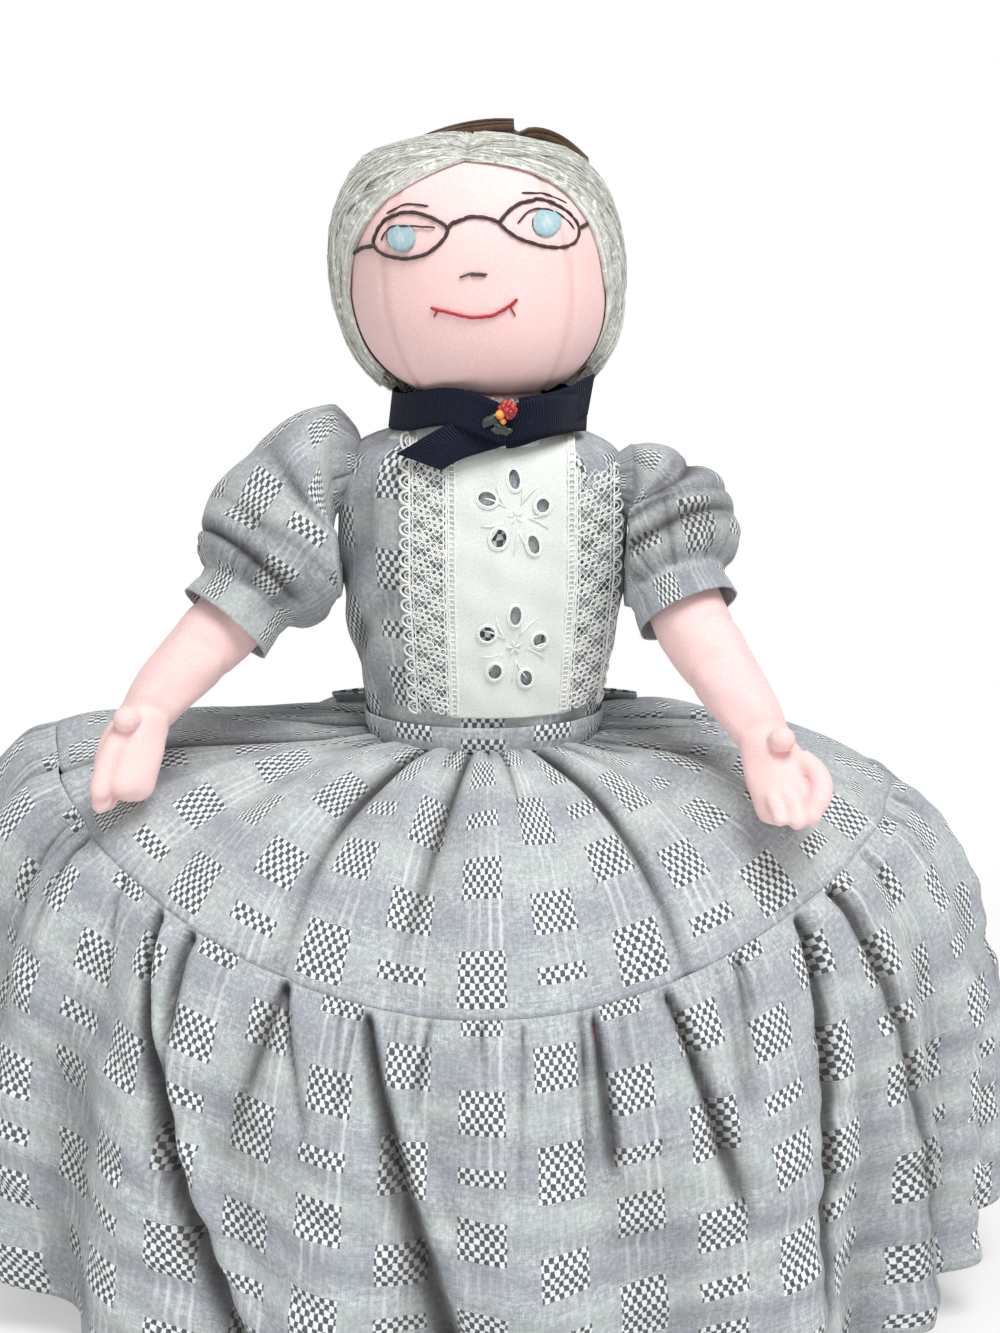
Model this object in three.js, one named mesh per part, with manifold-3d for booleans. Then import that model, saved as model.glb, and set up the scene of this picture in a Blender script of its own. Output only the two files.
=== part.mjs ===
// A topsy-turvy cloth doll: two stuffed half dolls sewn together at the waist, with one reversible
// skirt that covers whichever half is upside down. The grandmother half is up and the girl half is
// hidden, head down, under the skirt.
// Millimetres, +Z up. The origin is on the floor under the middle of the skirt, and both half dolls face -Y.
// "Left" and "right" are the doll's own: the grandmother's left hand is on +X.
import * as THREE from "three";
import { mergeVertices } from "three/addons/utils/BufferGeometryUtils.js";
import Module from "manifold-3d";

// Cloth and clearances
const fit = 0.4; // left between neighbouring pieces
const clothThickness = 1.4; // dress cotton with its turnings
const liningGap = 0.8; // between the two skirt layers

// Stuffed torso, the same pattern for both half dolls
const torsoHeight = 104; // waist seam to collar
const waistHalfWidth = 36;
const waistHalfDepth = 26;
const chestHeight = 58; // above the waist seam
const chestHalfWidth = 46.5;
const chestHalfDepth = 31;
const shoulderDrop = 9; // of the shoulder point below the collar
const shoulderHalfWidth = 44.5;
const shoulderHalfDepth = 27;
const collarHalfWidth = 29;
const collarHalfDepth = 21;

// Necks and heads
const neckRadius = 19;
const granNeckHeight = 14;
const girlNeckHeight = 6;
const headHeight = 79;
const headHalfWidth = 42;
const headHalfDepth = 39;
const headSeatHalfWidth = 23; // flat underside that is sewn to the neck
const headSquareness = 2.5; // 2 is an egg, more is boxier
const hairThickness = 5.5;
const hairRimHeight = 5; // of the hair's lower edge above the chin
const hairlineDepth = 8; // how far in front of the ears the hair ends
const partingDrop = 6; // of the hair's parting below the crown
const partingShift = -4; // of the parting from the middle of the face
const fringeDrop = 23; // of the girl's fringe below the crown
const crownFlat = 0.6; // pressed flat where the girl's crown meets the floor

// Face stitching
const threadRadius = 0.6;
const lensHalfWidth = 12.3;
const lensHalfHeight = 8;
const irisRadius = 4.3;
const irisThickness = 0.8;

// Arms: the two hang differently
const upperArmLength = 60;
const forearmLength = 48;
const handLength = 36;
const armTopRadius = 14;
const elbowRadius = 12.4;
const wristRadius = 8.8;
const palmHalfWidth = 11;
const palmHalfDepth = 7;
const thumbLength = 17;
const thumbRadius = 3.8;
const shoulderPivotDrop = 1; // of the arm's hinge seam below the shoulder point
const rightUpperSplay = 31; // degrees out from straight down
const rightForearmSplay = 38;
const rightHandSplay = 14;
const leftUpperSplay = 18;
const leftForearmSplay = 28;
const leftHandSplay = 16;
const handClearance = 1; // between the resting hands and the skirt
const girlUpperArmLength = 44;
const girlForearmLength = 37;
const girlHandLength = 29;
const girlArmSplay = 40;

// Puff sleeves, measured along the arm
const rightSleeveLength = 67;
const leftSleeveLength = 58;
const girlSleeveLength = 46;
const armholeRadius = 23;
const puffRadius = 27;
const cuffGatherRadius = 16.2;
const cuffHemRadius = 17.6;
const cuffHemLength = 10; // of cloth beyond the gathering
const sleevePleatDepth = 1.2;
const sleevePleatCount = 7;
const sleeveEase = 2; // between the arm and its sleeve at the shoulder

// Bodice trimmings
const waistbandHeight = 9;
const bibWidth = 41; // at the chest
const bibTaper = 0.87; // its width at the waist seam as a share of that at the chest
const bibShift = 7; // of the bib towards the doll's left
const bibFoot = 13; // above the waist seam
const bibTopDrop = 5; // below the collar
const laceWidth = 14.5;
const laceTopDrop = 2; // below the shoulder point
const trimThickness = 0.9;
const ribbonWidth = 12.5;
const ribbonThickness = 1;
const ribbonHalfWidth = 29;
const ribbonHalfDepth = 25.5;
const ribbonTailLength = 44;
const ribbonTailTop = 1.5; // of its sewn end below the collar
const ribbonTailDrop = 4; // of its free end below its sewn end
const berryRadius = 3.2;
const beadRadius = 1.9;
const leafLength = 6;
const broochShift = 7; // towards the doll's left
const broochRise = 2; // above the middle of the ribbon

// Bows
const hairBowRightLength = 34;
const hairBowLeftLength = 23;
const hairBowShift = 10; // of its knot towards the doll's left
const hairBowLoopHeight = 9;
const hairBowKnotRadius = 5.5;
const waistBowLoopLength = 54;
const waistBowLoopHeight = 9;
const waistBowKnotRadius = 6;
const bunRadius = 13; // of the girl's bun

// Skirt
const upperTierLength = 105; // along the cloth from the waist seam
const skirtSideSpread = 178; // half the skirt's width at the hem
const skirtFrontSpread = 126;
const skirtSideFullness = 3.6; // 2 is an even dome, more stands out squarer
const skirtFrontFullness = 2.1;
const hemSideRise = 30; // of the hem off the floor at the doll's sides
const foldCount = 17;
const upperFoldDepth = 2.6;
const seamFoldDepth = 1.6;
const hemFoldDepth = 6.5;
const foldStray = 0.9; // of the folds from even spacing, in radians of a fold
const foldUnevenness = 0.3; // of their depths
const foldSlant = 0.012; // radians of a fold per mm down the lower tier
const bunchHeight = 20; // of the cloth bunched up behind the right hand
const bunchAngle = 166; // degrees round from the doll's left side
const bunchSpread = 31; // degrees
const bunchCentre = 120; // along the cloth from the waist seam
const bunchLength = 45;
const hemBandHeight = 9;
const waistDip = 1; // the skirt's fall across the width of the waistband
const seamGap = 0.3; // between pieces that are sewn edge to edge

// Mesh density
const bodySides = 22;
const bodySteps = 8;
const armSides = 10;
const armSteps = 2; // rings in each stretch of an arm
const stepsPerFold = 4;
const upperTierRows = [0, 0.2, 0.45, 0.72, 1]; // shares of the tier's length
const lowerTierRows = [0, 0.2, 0.5];
const profileSteps = 48;
const threadSides = 5;

const degrees = Math.PI / 180;
const wasm = await Module();
wasm.setup();

// Colours, as the cloth, yarn and thread look in daylight
function finish(color, roughness = 0.9, metalness = 0) {
  return new THREE.MeshStandardMaterial({ color, roughness, metalness });
}
const skinCotton = finish(0xf0c4bd);
const dressCotton = finish(0x8d9299);
const eyeletCotton = finish(0xeef0ea);
const laceCotton = finish(0xf4f4f0);
const grosgrain = finish(0x1c2233, 0.7);
const greyYarn = finish(0xb9bcb6, 0.95);
const brownFelt = finish(0x4a2f1c, 0.95);
const chestnutYarn = finish(0x6b4429, 0.95);
const darkThread = finish(0x33201f, 0.6);
const redThread = finish(0xc4213b, 0.5);
const blueThread = finish(0x7db9cc, 0.5);
const redGlass = finish(0xb3130f, 0.1);
const amberGlass = finish(0xe89a2c, 0.1);
const greenGlass = finish(0x1d4a2a, 0.15);
const calico = finish(0x9c4a45);

// Solids from grids of points

// A closed geometry from points and triangles: equal points are merged, collapsed triangles are
// dropped, and the faces are turned to point out.
function closedGeometry(points, triangles) {
  const raw = new THREE.BufferGeometry();
  raw.setAttribute("position", new THREE.Float32BufferAttribute(points.flatMap((p) => p.toArray()), 3));
  raw.setIndex(triangles.flat());
  const merged = mergeVertices(raw, 1e-4);
  const index = merged.index.array;
  const kept = [];
  for (let i = 0; i < index.length; i += 3) {
    const [a, b, c] = [index[i], index[i + 1], index[i + 2]];
    if (a !== b && b !== c && a !== c) kept.push([a, b, c]);
  }
  const at = (i) => new THREE.Vector3().fromBufferAttribute(merged.attributes.position, i);
  const volume = kept.reduce((sum, [a, b, c]) => sum + at(a).dot(at(b).cross(at(c))), 0);
  const outward = volume > 0 ? kept : kept.map(([a, b, c]) => [a, c, b]);
  merged.setIndex(outward.flat());
  return merged;
}

// The two triangles of each cell of a grid of rows, whose first point is number first.
function gridCells(rows, columns, wrap, first, flip) {
  const cells = [];
  const last = wrap ? columns : columns - 1;
  for (let i = 0; i < rows - 1; i++) {
    for (let j = 0; j < last; j++) {
      const next = (j + 1) % columns;
      const [a, b] = [first + i * columns + j, first + i * columns + next];
      const [c, d] = [a + columns, b + columns];
      cells.push(flip ? [a, c, b] : [a, b, c], flip ? [b, c, d] : [b, d, c]);
    }
  }
  return cells;
}

// A solid bounded by a stack of rings, closed by a fan at each end.
function stuffed(rings) {
  const middle = (ring) => ring.reduce((sum, p) => sum.add(p), new THREE.Vector3()).divideScalar(ring.length);
  const point = (ring) => ring.map(() => middle(ring));
  const rows = [point(rings[0]), ...rings, point(rings[rings.length - 1])];
  return closedGeometry(rows.flat(), gridCells(rows.length, rows[0].length, true, 0, false));
}

// A sheet with a thickness, from the grids of its two faces. A wrapped sheet is a tube or a bowl.
function thickSheet(outer, inner, wrap) {
  const [rows, columns] = [outer.length, outer[0].length];
  const size = rows * columns;
  const points = [...outer.flat(), ...inner.flat()];
  const cells = [...gridCells(rows, columns, wrap, 0, false), ...gridCells(rows, columns, wrap, size, true)];
  const edge = (a, b) => cells.push([a, b, a + size], [b, b + size, a + size]);
  for (let j = 0; j < (wrap ? columns : columns - 1); j++) {
    const next = (j + 1) % columns;
    edge(next, j);
    edge(size - columns + j, size - columns + next);
  }
  for (let i = 0; !wrap && i < rows - 1; i++) {
    edge(i * columns, (i + 1) * columns);
    edge((i + 2) * columns - 1, (i + 1) * columns - 1);
  }
  return closedGeometry(points, cells);
}

// Joining and cutting

function solidOf(geometry) {
  const bare = new THREE.BufferGeometry();
  bare.setAttribute("position", geometry.getAttribute("position"));
  if (geometry.index) bare.setIndex(geometry.index);
  const merged = mergeVertices(bare, 1e-4);
  return new wasm.Manifold(
    new wasm.Mesh({
      numProp: 3,
      vertProperties: new Float32Array(merged.attributes.position.array),
      triVerts: new Uint32Array(merged.index.array),
    }),
  );
}

function geometryOf(solid) {
  const mesh = solid.getMesh();
  const geometry = new THREE.BufferGeometry();
  geometry.setAttribute("position", new THREE.BufferAttribute(new Float32Array(mesh.vertProperties), 3));
  geometry.setIndex(new THREE.BufferAttribute(new Uint32Array(mesh.triVerts), 1));
  return geometry;
}

// The largest body of a solid, so that a cut leaves no crumbs.
function largest(solid) {
  return solid.decompose().reduce((a, b) => (a.volume() > b.volume() ? a : b));
}

function cut(geometry, ...cutters) {
  const left = cutters.reduce((solid, c) => solid.subtract(solidOf(c)), solidOf(geometry));
  return geometryOf(largest(left));
}

function joined(...geometries) {
  return geometryOf(geometries.map(solidOf).reduce((a, b) => a.add(b)));
}

// Everything on the far side of a plane square to X, for cutting.
function beyondX(x, side) {
  const reach = 4 * skirtSideSpread;
  const box = new THREE.BoxGeometry(reach, reach, reach);
  return box.translate(x + (side * reach) / 2, 0, 0);
}

// Stacks of ellipses: the torso and the heads. A profile gives the ellipse at t, from 0 to 1 upwards.

function torsoProfile(t) {
  const knots = [
    [0, waistHalfWidth, waistHalfDepth],
    [chestHeight, chestHalfWidth, chestHalfDepth],
    [torsoHeight - shoulderDrop, shoulderHalfWidth, shoulderHalfDepth],
    [torsoHeight, collarHalfWidth, collarHalfDepth],
  ];
  const path = new THREE.CatmullRomCurve3(knots.map((k) => new THREE.Vector3(...k)), false, "centripetal");
  const at = path.getPoint(t);
  return { z: at.x, halfWidth: at.y, halfDepth: at.z };
}

function headProfile(t) {
  const power = 2 / headSquareness;
  const lowest = -Math.acos((headSeatHalfWidth / headHalfWidth) ** (1 / power));
  const angle = lowest + t * (Math.PI / 2 - lowest);
  const below = Math.abs(Math.sin(lowest)) ** power;
  const rise = Math.sign(Math.sin(angle)) * Math.abs(Math.sin(angle)) ** power;
  const out = Math.max(0, Math.cos(angle)) ** power;
  return {
    z: (headHeight * (below + rise)) / (1 + below),
    halfWidth: headHalfWidth * out,
    halfDepth: headHalfDepth * out,
  };
}

// The way out of a profile at t, as a share sideways and a share upwards.
function profileNormal(profile, t) {
  const step = 1e-3;
  const [low, high] = [profile(Math.max(0, t - step)), profile(Math.min(1, t + step))];
  const run = (high.halfWidth + high.halfDepth - low.halfWidth - low.halfDepth) / 2;
  const rise = high.z - low.z;
  const length = Math.hypot(run, rise);
  return { out: rise / length, up: -run / length };
}

// The same profile, proud of the first by offset.
function proudOf(profile, offset) {
  return (t) => {
    const { z, halfWidth, halfDepth } = profile(t);
    const { out, up } = profileNormal(profile, t);
    const pole = halfWidth < 1e-6;
    const grow = pole ? 0 : offset * out;
    return { z: z + (pole ? offset : offset * up), halfWidth: halfWidth + grow, halfDepth: halfDepth + grow };
  };
}

function ellipseRing(profile, t, offset) {
  const { z, halfWidth, halfDepth } = proudOf(profile, offset)(t);
  return Array.from({ length: bodySides }, (_, j) => {
    const a = (2 * Math.PI * j) / bodySides;
    return new THREE.Vector3(halfWidth * Math.cos(a), halfDepth * Math.sin(a), z);
  });
}

// Rings from t up to the top. Above the first, all stacks have theirs at the same places, so that the
// facets of one layer lie along those of the next.
function ellipseRings(profile, offset, from = 0) {
  const above = shares(0, 1, bodySteps).filter((t) => t > from + 0.1 / bodySteps);
  return [from, ...above].map((t) => ellipseRing(profile, t, offset));
}

// The t at which a profile reaches height z.
function profileAt(profile, z) {
  let [low, high] = [0, 1];
  for (let i = 0; i < 40; i++) {
    const middle = (low + high) / 2;
    if (profile(middle).z < z) low = middle;
    else high = middle;
  }
  return (low + high) / 2;
}

// A point on the front of a profile, proud of it by offset.
function frontPoint(profile, x, z, offset) {
  const proud = proudOf(profile, offset);
  const { halfWidth, halfDepth } = proud(profileAt(proud, z));
  const share = Math.min(1, Math.abs(x) / halfWidth);
  return new THREE.Vector3(x, -halfDepth * Math.sqrt(1 - share * share), z);
}

// A sheet lying on the front of a profile, between two edges that are lines of x and z.
function frontSheet(profile, edgeA, edgeB, offset, thickness, columns, rows) {
  const face = (proud) =>
    Array.from({ length: rows + 1 }, (_, i) =>
      Array.from({ length: columns + 1 }, (_, j) => {
        const [a, b] = [edgeA(i / rows), edgeB(i / rows)];
        const share = j / columns;
        return frontPoint(profile, a[0] + (b[0] - a[0]) * share, a[1] + (b[1] - a[1]) * share, proud);
      }),
    );
  return thickSheet(face(offset + thickness), face(offset), false);
}

// Pieces that follow a line

const deepWay = new THREE.Vector3(0, 1, 0); // front to back

// Rings around a line. The section gives the two half sizes at each share of it: across, in the plane
// that holds the line and the side vector, and deep, square to that plane. A ripple adds pleats.
function ringsAlong(path, shares, section, deepWay, sides, ripple = () => 0) {
  return shares.map((share) => {
    const centre = path.getPointAt(share);
    const ahead = path.getTangentAt(share);
    const across = new THREE.Vector3().crossVectors(deepWay, ahead).normalize();
    const deep = new THREE.Vector3().crossVectors(ahead, across).normalize();
    const { halfWidth, halfDepth } = section(share);
    return Array.from({ length: sides }, (_, j) => {
      const a = (2 * Math.PI * j) / sides;
      const more = ripple(a, share);
      return centre
        .clone()
        .addScaledVector(across, (halfWidth + more) * Math.cos(a))
        .addScaledVector(deep, (halfDepth + more) * Math.sin(a));
    });
  });
}

function shares(from, to, steps) {
  return Array.from({ length: steps + 1 }, (_, i) => from + ((to - from) * i) / steps);
}

// Straight runs between given values: stops is a list of [share, values...].
function between(stops, share) {
  const last = stops.findIndex((s) => s[0] >= share);
  if (last === 0) return stops[0].slice(1);
  if (last < 0) return stops[stops.length - 1].slice(1);
  const [a, b] = [stops[last - 1], stops[last]];
  const part = (share - a[0]) / (b[0] - a[0]);
  return a.slice(1).map((v, k) => v + (b[k + 1] - v) * part);
}

// A round thread through points, with rounded-off ends or running back into itself.
function thread(points, radius, steps, closed = false) {
  const path = new THREE.CatmullRomCurve3(points, closed, "centripetal");
  const section = () => ({ halfWidth: radius, halfDepth: radius });
  const rings = ringsAlong(path, shares(0, 1, steps), section, deepWay, threadSides);
  if (!closed) return stuffed(rings);
  const loop = [...rings.slice(0, -1), rings[0]];
  return closedGeometry(loop.flat(), gridCells(loop.length, threadSides, true, 0, false));
}

// A padded loop or tail of a bow, from its knot end outwards.
function bowLobe(points, halfHeight, halfDepth) {
  const path = new THREE.CatmullRomCurve3(points);
  const shape = [
    [0, 0.35],
    [0.25, 0.75],
    [0.6, 1],
    [0.85, 0.85],
    [1, 0.3],
  ];
  const section = (share) => {
    const [grow] = between(shape, share);
    return { halfWidth: halfHeight * grow, halfDepth: halfDepth * (0.4 + 0.6 * grow) };
  };
  return stuffed(ringsAlong(path, shares(0, 1, 7), section, new THREE.Vector3(0, 1, 0), 8));
}

// Named pieces

function piece(name, geometry, material) {
  const mesh = new THREE.Mesh(geometry, material);
  mesh.name = name;
  return mesh;
}

// Torso, bodice and neck of a half doll

const bodiceOffset = fit + clothThickness; // from the torso to the bodice's outside
const torsoWidest = Math.max(...shares(0, 1, 40).map((t) => torsoProfile(t).halfWidth));
const armholeX = torsoWidest + bodiceOffset;
const shoulderPivotHeight = torsoHeight - shoulderDrop - shoulderPivotDrop;

function torso() {
  return stuffed(ellipseRings(torsoProfile, 0));
}

function bodice(foot) {
  const from = profileAt(torsoProfile, foot);
  const outer = ellipseRings(torsoProfile, bodiceOffset, from);
  const inner = ellipseRings(torsoProfile, fit, from);
  for (const row of [outer[0], inner[0]]) row.forEach((p) => (p.z = foot));
  return thickSheet(outer, inner, true);
}

function waistband(foot) {
  const band = (offset) =>
    [foot, foot + waistbandHeight].map((z) =>
      ellipseRing(torsoProfile, profileAt(torsoProfile, z), offset).map((p) => p.setZ(z)),
    );
  const under = bodiceOffset + fit;
  return thickSheet(band(under + clothThickness), band(under), true);
}

function neck(height) {
  const stub = new THREE.CylinderGeometry(neckRadius, neckRadius, height, bodySides);
  return stub.rotateX(Math.PI / 2).translate(0, 0, torsoHeight + fit + height / 2);
}

// A flat band standing round the neck on the bodice.
function neckBand(height, thickness) {
  const foot = torsoHeight + bodiceOffset + fit;
  const band = (offset) =>
    [foot, foot + height].map((z) =>
      Array.from({ length: bodySides }, (_, j) => {
        const a = (2 * Math.PI * j) / bodySides;
        const [x, y] = [(ribbonHalfWidth + offset) * Math.cos(a), (ribbonHalfDepth + offset) * Math.sin(a)];
        return new THREE.Vector3(x, y, z);
      }),
    );
  return thickSheet(band(thickness), band(0), true);
}

// Heads: local to the middle of the flat underside

function head() {
  return stuffed(ellipseRings(headProfile, 0));
}

// A cap of yarn over the head, cut away in front by an opening drawn in x and z.
function hair(opening) {
  const from = profileAt(headProfile, hairRimHeight);
  const outer = ellipseRings(headProfile, fit + hairThickness, from);
  const inner = ellipseRings(headProfile, fit, from);
  const reach = headHalfDepth + 2 * hairThickness;
  const window = new THREE.ExtrudeGeometry(opening, { depth: reach, curveSegments: 8, bevelEnabled: false });
  window.rotateX(Math.PI / 2).translate(0, -hairlineDepth, 0);
  window.deleteAttribute("normal");
  window.deleteAttribute("uv");
  return cut(thickSheet(outer, inner, true), window);
}

// The face's outline under a parting, swept lower over the doll's right eye than over the left.
function partedOpening() {
  const side = headHalfWidth - fit;
  const partingHeight = headHeight - partingDrop;
  const cheek = partingHeight * 0.46;
  const shape = new THREE.Shape();
  shape.moveTo(-side, -headHeight);
  shape.lineTo(-side, cheek);
  shape.quadraticCurveTo(-side, partingHeight * 0.86, partingShift, partingHeight);
  shape.quadraticCurveTo(side, partingHeight, side, cheek);
  shape.lineTo(side, -headHeight);
  return shape;
}

// The face's outline under a straight fringe.
function fringeOpening() {
  const side = headHalfWidth - fit;
  const fringeHeight = headHeight - fringeDrop;
  const shape = new THREE.Shape();
  shape.moveTo(-side, -headHeight);
  shape.lineTo(-side, fringeHeight * 0.6);
  shape.quadraticCurveTo(-side, fringeHeight, 0, fringeHeight);
  shape.quadraticCurveTo(side, fringeHeight, side, fringeHeight * 0.6);
  shape.lineTo(side, -headHeight);
  return shape;
}

const threadProud = fit + threadRadius; // of a thread's middle off the face

function faceThread(points, steps, closed = false) {
  const on = points.map(([x, z]) => frontPoint(headProfile, x, z, threadProud));
  return thread(on, threadRadius, steps, closed);
}

// A spectacle lens: an oval whose long axis is turned by tilt degrees.
function lens([x, z], tilt) {
  const [c, s] = [Math.cos(tilt * degrees), Math.sin(tilt * degrees)];
  const points = Array.from({ length: 12 }, (_, k) => {
    const a = (2 * Math.PI * k) / 12;
    const [u, v] = [lensHalfWidth * Math.cos(a), lensHalfHeight * Math.sin(a)];
    return [x + u * c - v * s, z + u * s + v * c];
  });
  return faceThread(points, 16, true);
}

function lensEnd([x, z], tilt, way) {
  const reach = lensHalfWidth * way;
  return [x + reach * Math.cos(tilt * degrees), z + reach * Math.sin(tilt * degrees)];
}

// The spectacles are stitched a little askew, the doll's left eye higher.
const eyeHeight = headHeight * 0.66;
const rightLens = [-22, eyeHeight - 2];
const leftLens = [20, eyeHeight + 2];
const rightLensTilt = 14;
const leftLensTilt = -8;
const templeLength = 3;

function spectacles() {
  const [innerRight, innerLeft] = [lensEnd(rightLens, rightLensTilt, 1), lensEnd(leftLens, leftLensTilt, -1)];
  const [outerRight, outerLeft] = [lensEnd(rightLens, rightLensTilt, -1), lensEnd(leftLens, leftLensTilt, 1)];
  const arch = [(innerRight[0] + innerLeft[0]) / 2, Math.max(innerRight[1], innerLeft[1]) + 2];
  return joined(
    lens(rightLens, rightLensTilt),
    lens(leftLens, leftLensTilt),
    faceThread([innerRight, arch, innerLeft], 6),
    faceThread([outerRight, [outerRight[0] - templeLength, outerRight[1] - templeLength / 2]], 3),
    faceThread([outerLeft, [outerLeft[0] + templeLength, outerLeft[1] - templeLength / 4]], 3),
  );
}

// A padded disc of satin stitch on the face.
function iris([x, z]) {
  const normal = frontPoint(headProfile, x, z, 1).sub(frontPoint(headProfile, x, z, 0)).normalize();
  const disc = new THREE.CylinderGeometry(irisRadius * 0.8, irisRadius, irisThickness, 14);
  disc.applyQuaternion(new THREE.Quaternion().setFromUnitVectors(new THREE.Vector3(0, 1, 0), normal));
  const seat = frontPoint(headProfile, x, z, fit + irisThickness / 2);
  const padded = disc.translate(seat.x, seat.y, seat.z);
  return cut(padded, stuffed(ellipseRings(headProfile, fit / 2)));
}

// A yarn bun at the back of the girl's head.
function bun() {
  const ball = new THREE.SphereGeometry(bunRadius, 12, 8).scale(1, 0.8, 1);
  ball.translate(0, headHalfDepth + hairThickness + bunRadius / 2, headHeight / 2);
  return cut(ball, stuffed(ellipseRings(headProfile, 2 * fit + hairThickness)));
}

// The bow behind the grandmother's hair: two loops that meet at a knot on the crown.
const bowSeat = headHeight + hairThickness + 2 * fit;
const bowBack = 12; // of the bow behind the crown's middle

function hairBowPiece(shape) {
  return cut(shape, stuffed(ellipseRings(headProfile, 2 * fit + hairThickness)));
}

function hairBowLoop(side, length) {
  const knotEdge = hairBowKnotRadius + fit;
  const points = [0, 0.5, 1].map((k) => {
    const x = hairBowShift + side * (knotEdge + k * length);
    return new THREE.Vector3(x, bowBack + k * 3, bowSeat - 3 - k * k * hairBowLoopHeight);
  });
  return hairBowPiece(cut(bowLobe(points, hairBowLoopHeight, hairBowKnotRadius), hairBowKnotShape(fit)));
}

function hairBowKnotShape(grow) {
  const knot = new THREE.SphereGeometry(hairBowKnotRadius + grow, 10, 8);
  return knot.translate(hairBowShift, bowBack, bowSeat - 3);
}

// Arms: local to the hinge seam at the shoulder, in the plane of X and Z

function armPath(side, lengths, splays) {
  const points = [new THREE.Vector3()];
  lengths.forEach((length, k) => {
    const a = splays[k] * degrees;
    const step = new THREE.Vector3(side * Math.sin(a), 0, -Math.cos(a)).multiplyScalar(length);
    points.push(points[k].clone().add(step));
  });
  return new THREE.CatmullRomCurve3(points, false, "centripetal");
}

// The arm swells from a flat tab at the shoulder seam, tapers to the wrist and widens into a mitten hand.
function armStops(lengths) {
  const total = lengths.reduce((a, b) => a + b);
  const [elbow, wrist] = [lengths[0] / total, (lengths[0] + lengths[1]) / total];
  const palm = wrist + (1 - wrist) * 0.45;
  return [
    [0, armTopRadius * 0.9, armTopRadius * 0.45],
    [elbow * 0.3, armTopRadius, armTopRadius * 0.9],
    [elbow, elbowRadius, elbowRadius],
    [wrist, wristRadius, wristRadius * 0.9],
    [palm, palmHalfWidth, palmHalfDepth],
    [palm + (1 - palm) * 0.6, palmHalfWidth * 0.8, palmHalfDepth * 0.9],
    [1, palmHalfWidth * 0.25, palmHalfDepth * 0.3],
  ];
}

function armSection(lengths, grow, scale) {
  const stops = armStops(lengths);
  return (share) => {
    const [halfWidth, halfDepth] = between(stops, share);
    return { halfWidth: halfWidth * scale + grow, halfDepth: halfDepth * scale + grow };
  };
}

function arm(side, path, lengths, scale, grow = 0) {
  const section = armSection(lengths, grow, scale);
  const stops = armStops(lengths).map((stop) => stop[0]);
  const stations = stops.slice(1).flatMap((stop, k) => shares(stops[k], stop, armSteps).slice(1));
  const limb = stuffed(ringsAlong(path, [0, ...stations], section, deepWay, armSides));
  return cut(limb, beyondX(side * fit, -side));
}

// A thumb sewn to the front of the hand, just past the wrist.
function thumb(side, path, lengths) {
  const total = lengths.reduce((a, b) => a + b);
  const root = path.getPointAt((lengths[0] + lengths[1]) / total);
  const tip = root.clone().add(new THREE.Vector3(side * 0.35, -0.9, -0.25).normalize().multiplyScalar(thumbLength));
  const taper = [
    [0, 1],
    [0.7, 0.9],
    [1, 0.4],
  ];
  const section = (share) => {
    const [radius] = between(taper, share).map((v) => v * thumbRadius);
    return { halfWidth: radius, halfDepth: radius };
  };
  const line = new THREE.CatmullRomCurve3([root, root.clone().lerp(tip, 0.5), tip]);
  const stub = stuffed(ringsAlong(line, shares(0, 1, 5), section, new THREE.Vector3(0, 0, 1), 8));
  return cut(stub, arm(side, path, lengths, 1, fit));
}

// A puffed sleeve round the upper arm, gathered above its hem and cut flat at the armhole.
function sleeve(side, path, lengths, length, scale, sides, steps) {
  const total = lengths.reduce((a, b) => a + b);
  const [start, end, gather] = [0, length / total, (length - cuffHemLength * scale) / total];
  const outer = [
    [start, armholeRadius],
    [gather * 0.3, puffRadius * 0.96],
    [gather * 0.6, puffRadius],
    [gather * 0.88, puffRadius * 0.84],
    [gather, cuffGatherRadius],
    [end, cuffHemRadius],
  ];
  const around = (share) => {
    const [radius] = between(outer, share).map((v) => v * scale);
    return { halfWidth: radius, halfDepth: radius };
  };
  const pleats = (a, share) => {
    const swell = Math.sin(Math.PI * Math.min(1, share / gather));
    return sleevePleatDepth * scale * swell * Math.cos(sleevePleatCount * a);
  };
  const stations = [...shares(start, gather, steps), end];
  const outside = ringsAlong(path, stations, around, deepWay, sides, pleats);
  const within = (share) => {
    const ease = 2 * fit + sleeveEase * Math.max(0, 1 - share / gather);
    return armSection(lengths, ease, scale)(share);
  };
  const inside = ringsAlong(path, stations, within, deepWay, sides);
  // The armhole end runs back past the flat of the armhole, where it is cut.
  const back = (ring) => ring.map((p) => p.clone().add(new THREE.Vector3(-side * armholeRadius, 0, 0)));
  const tube = thickSheet([back(outside[0]), ...outside], [back(inside[0]), ...inside], true);
  return cut(tube, beyondX(side * fit, -side));
}

// Skirt: a dome of cloth measured along the cloth from the waist seam

const skirtStack = 2 * clothThickness + liningGap; // both layers, where they are sewn in at the waist
const girlBodyHeight =
  torsoHeight + girlNeckHeight + headHeight + hairThickness + 3 * fit - crownFlat;
const waistHeight = fit + girlBodyHeight; // the girl's crown is on the floor
const skirtColumns = foldCount * stepsPerFold;
const waistEdge = 2.2 * fit; // from the torso to the skirt's sewn edge

// Height of the hem off the floor: flat in front and behind, lifted at the sides.
function hemHeight(a) {
  const side = Math.max(0, Math.abs(Math.cos(a)) - 0.4) / 0.6;
  return hemSideRise * side * side;
}

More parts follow.
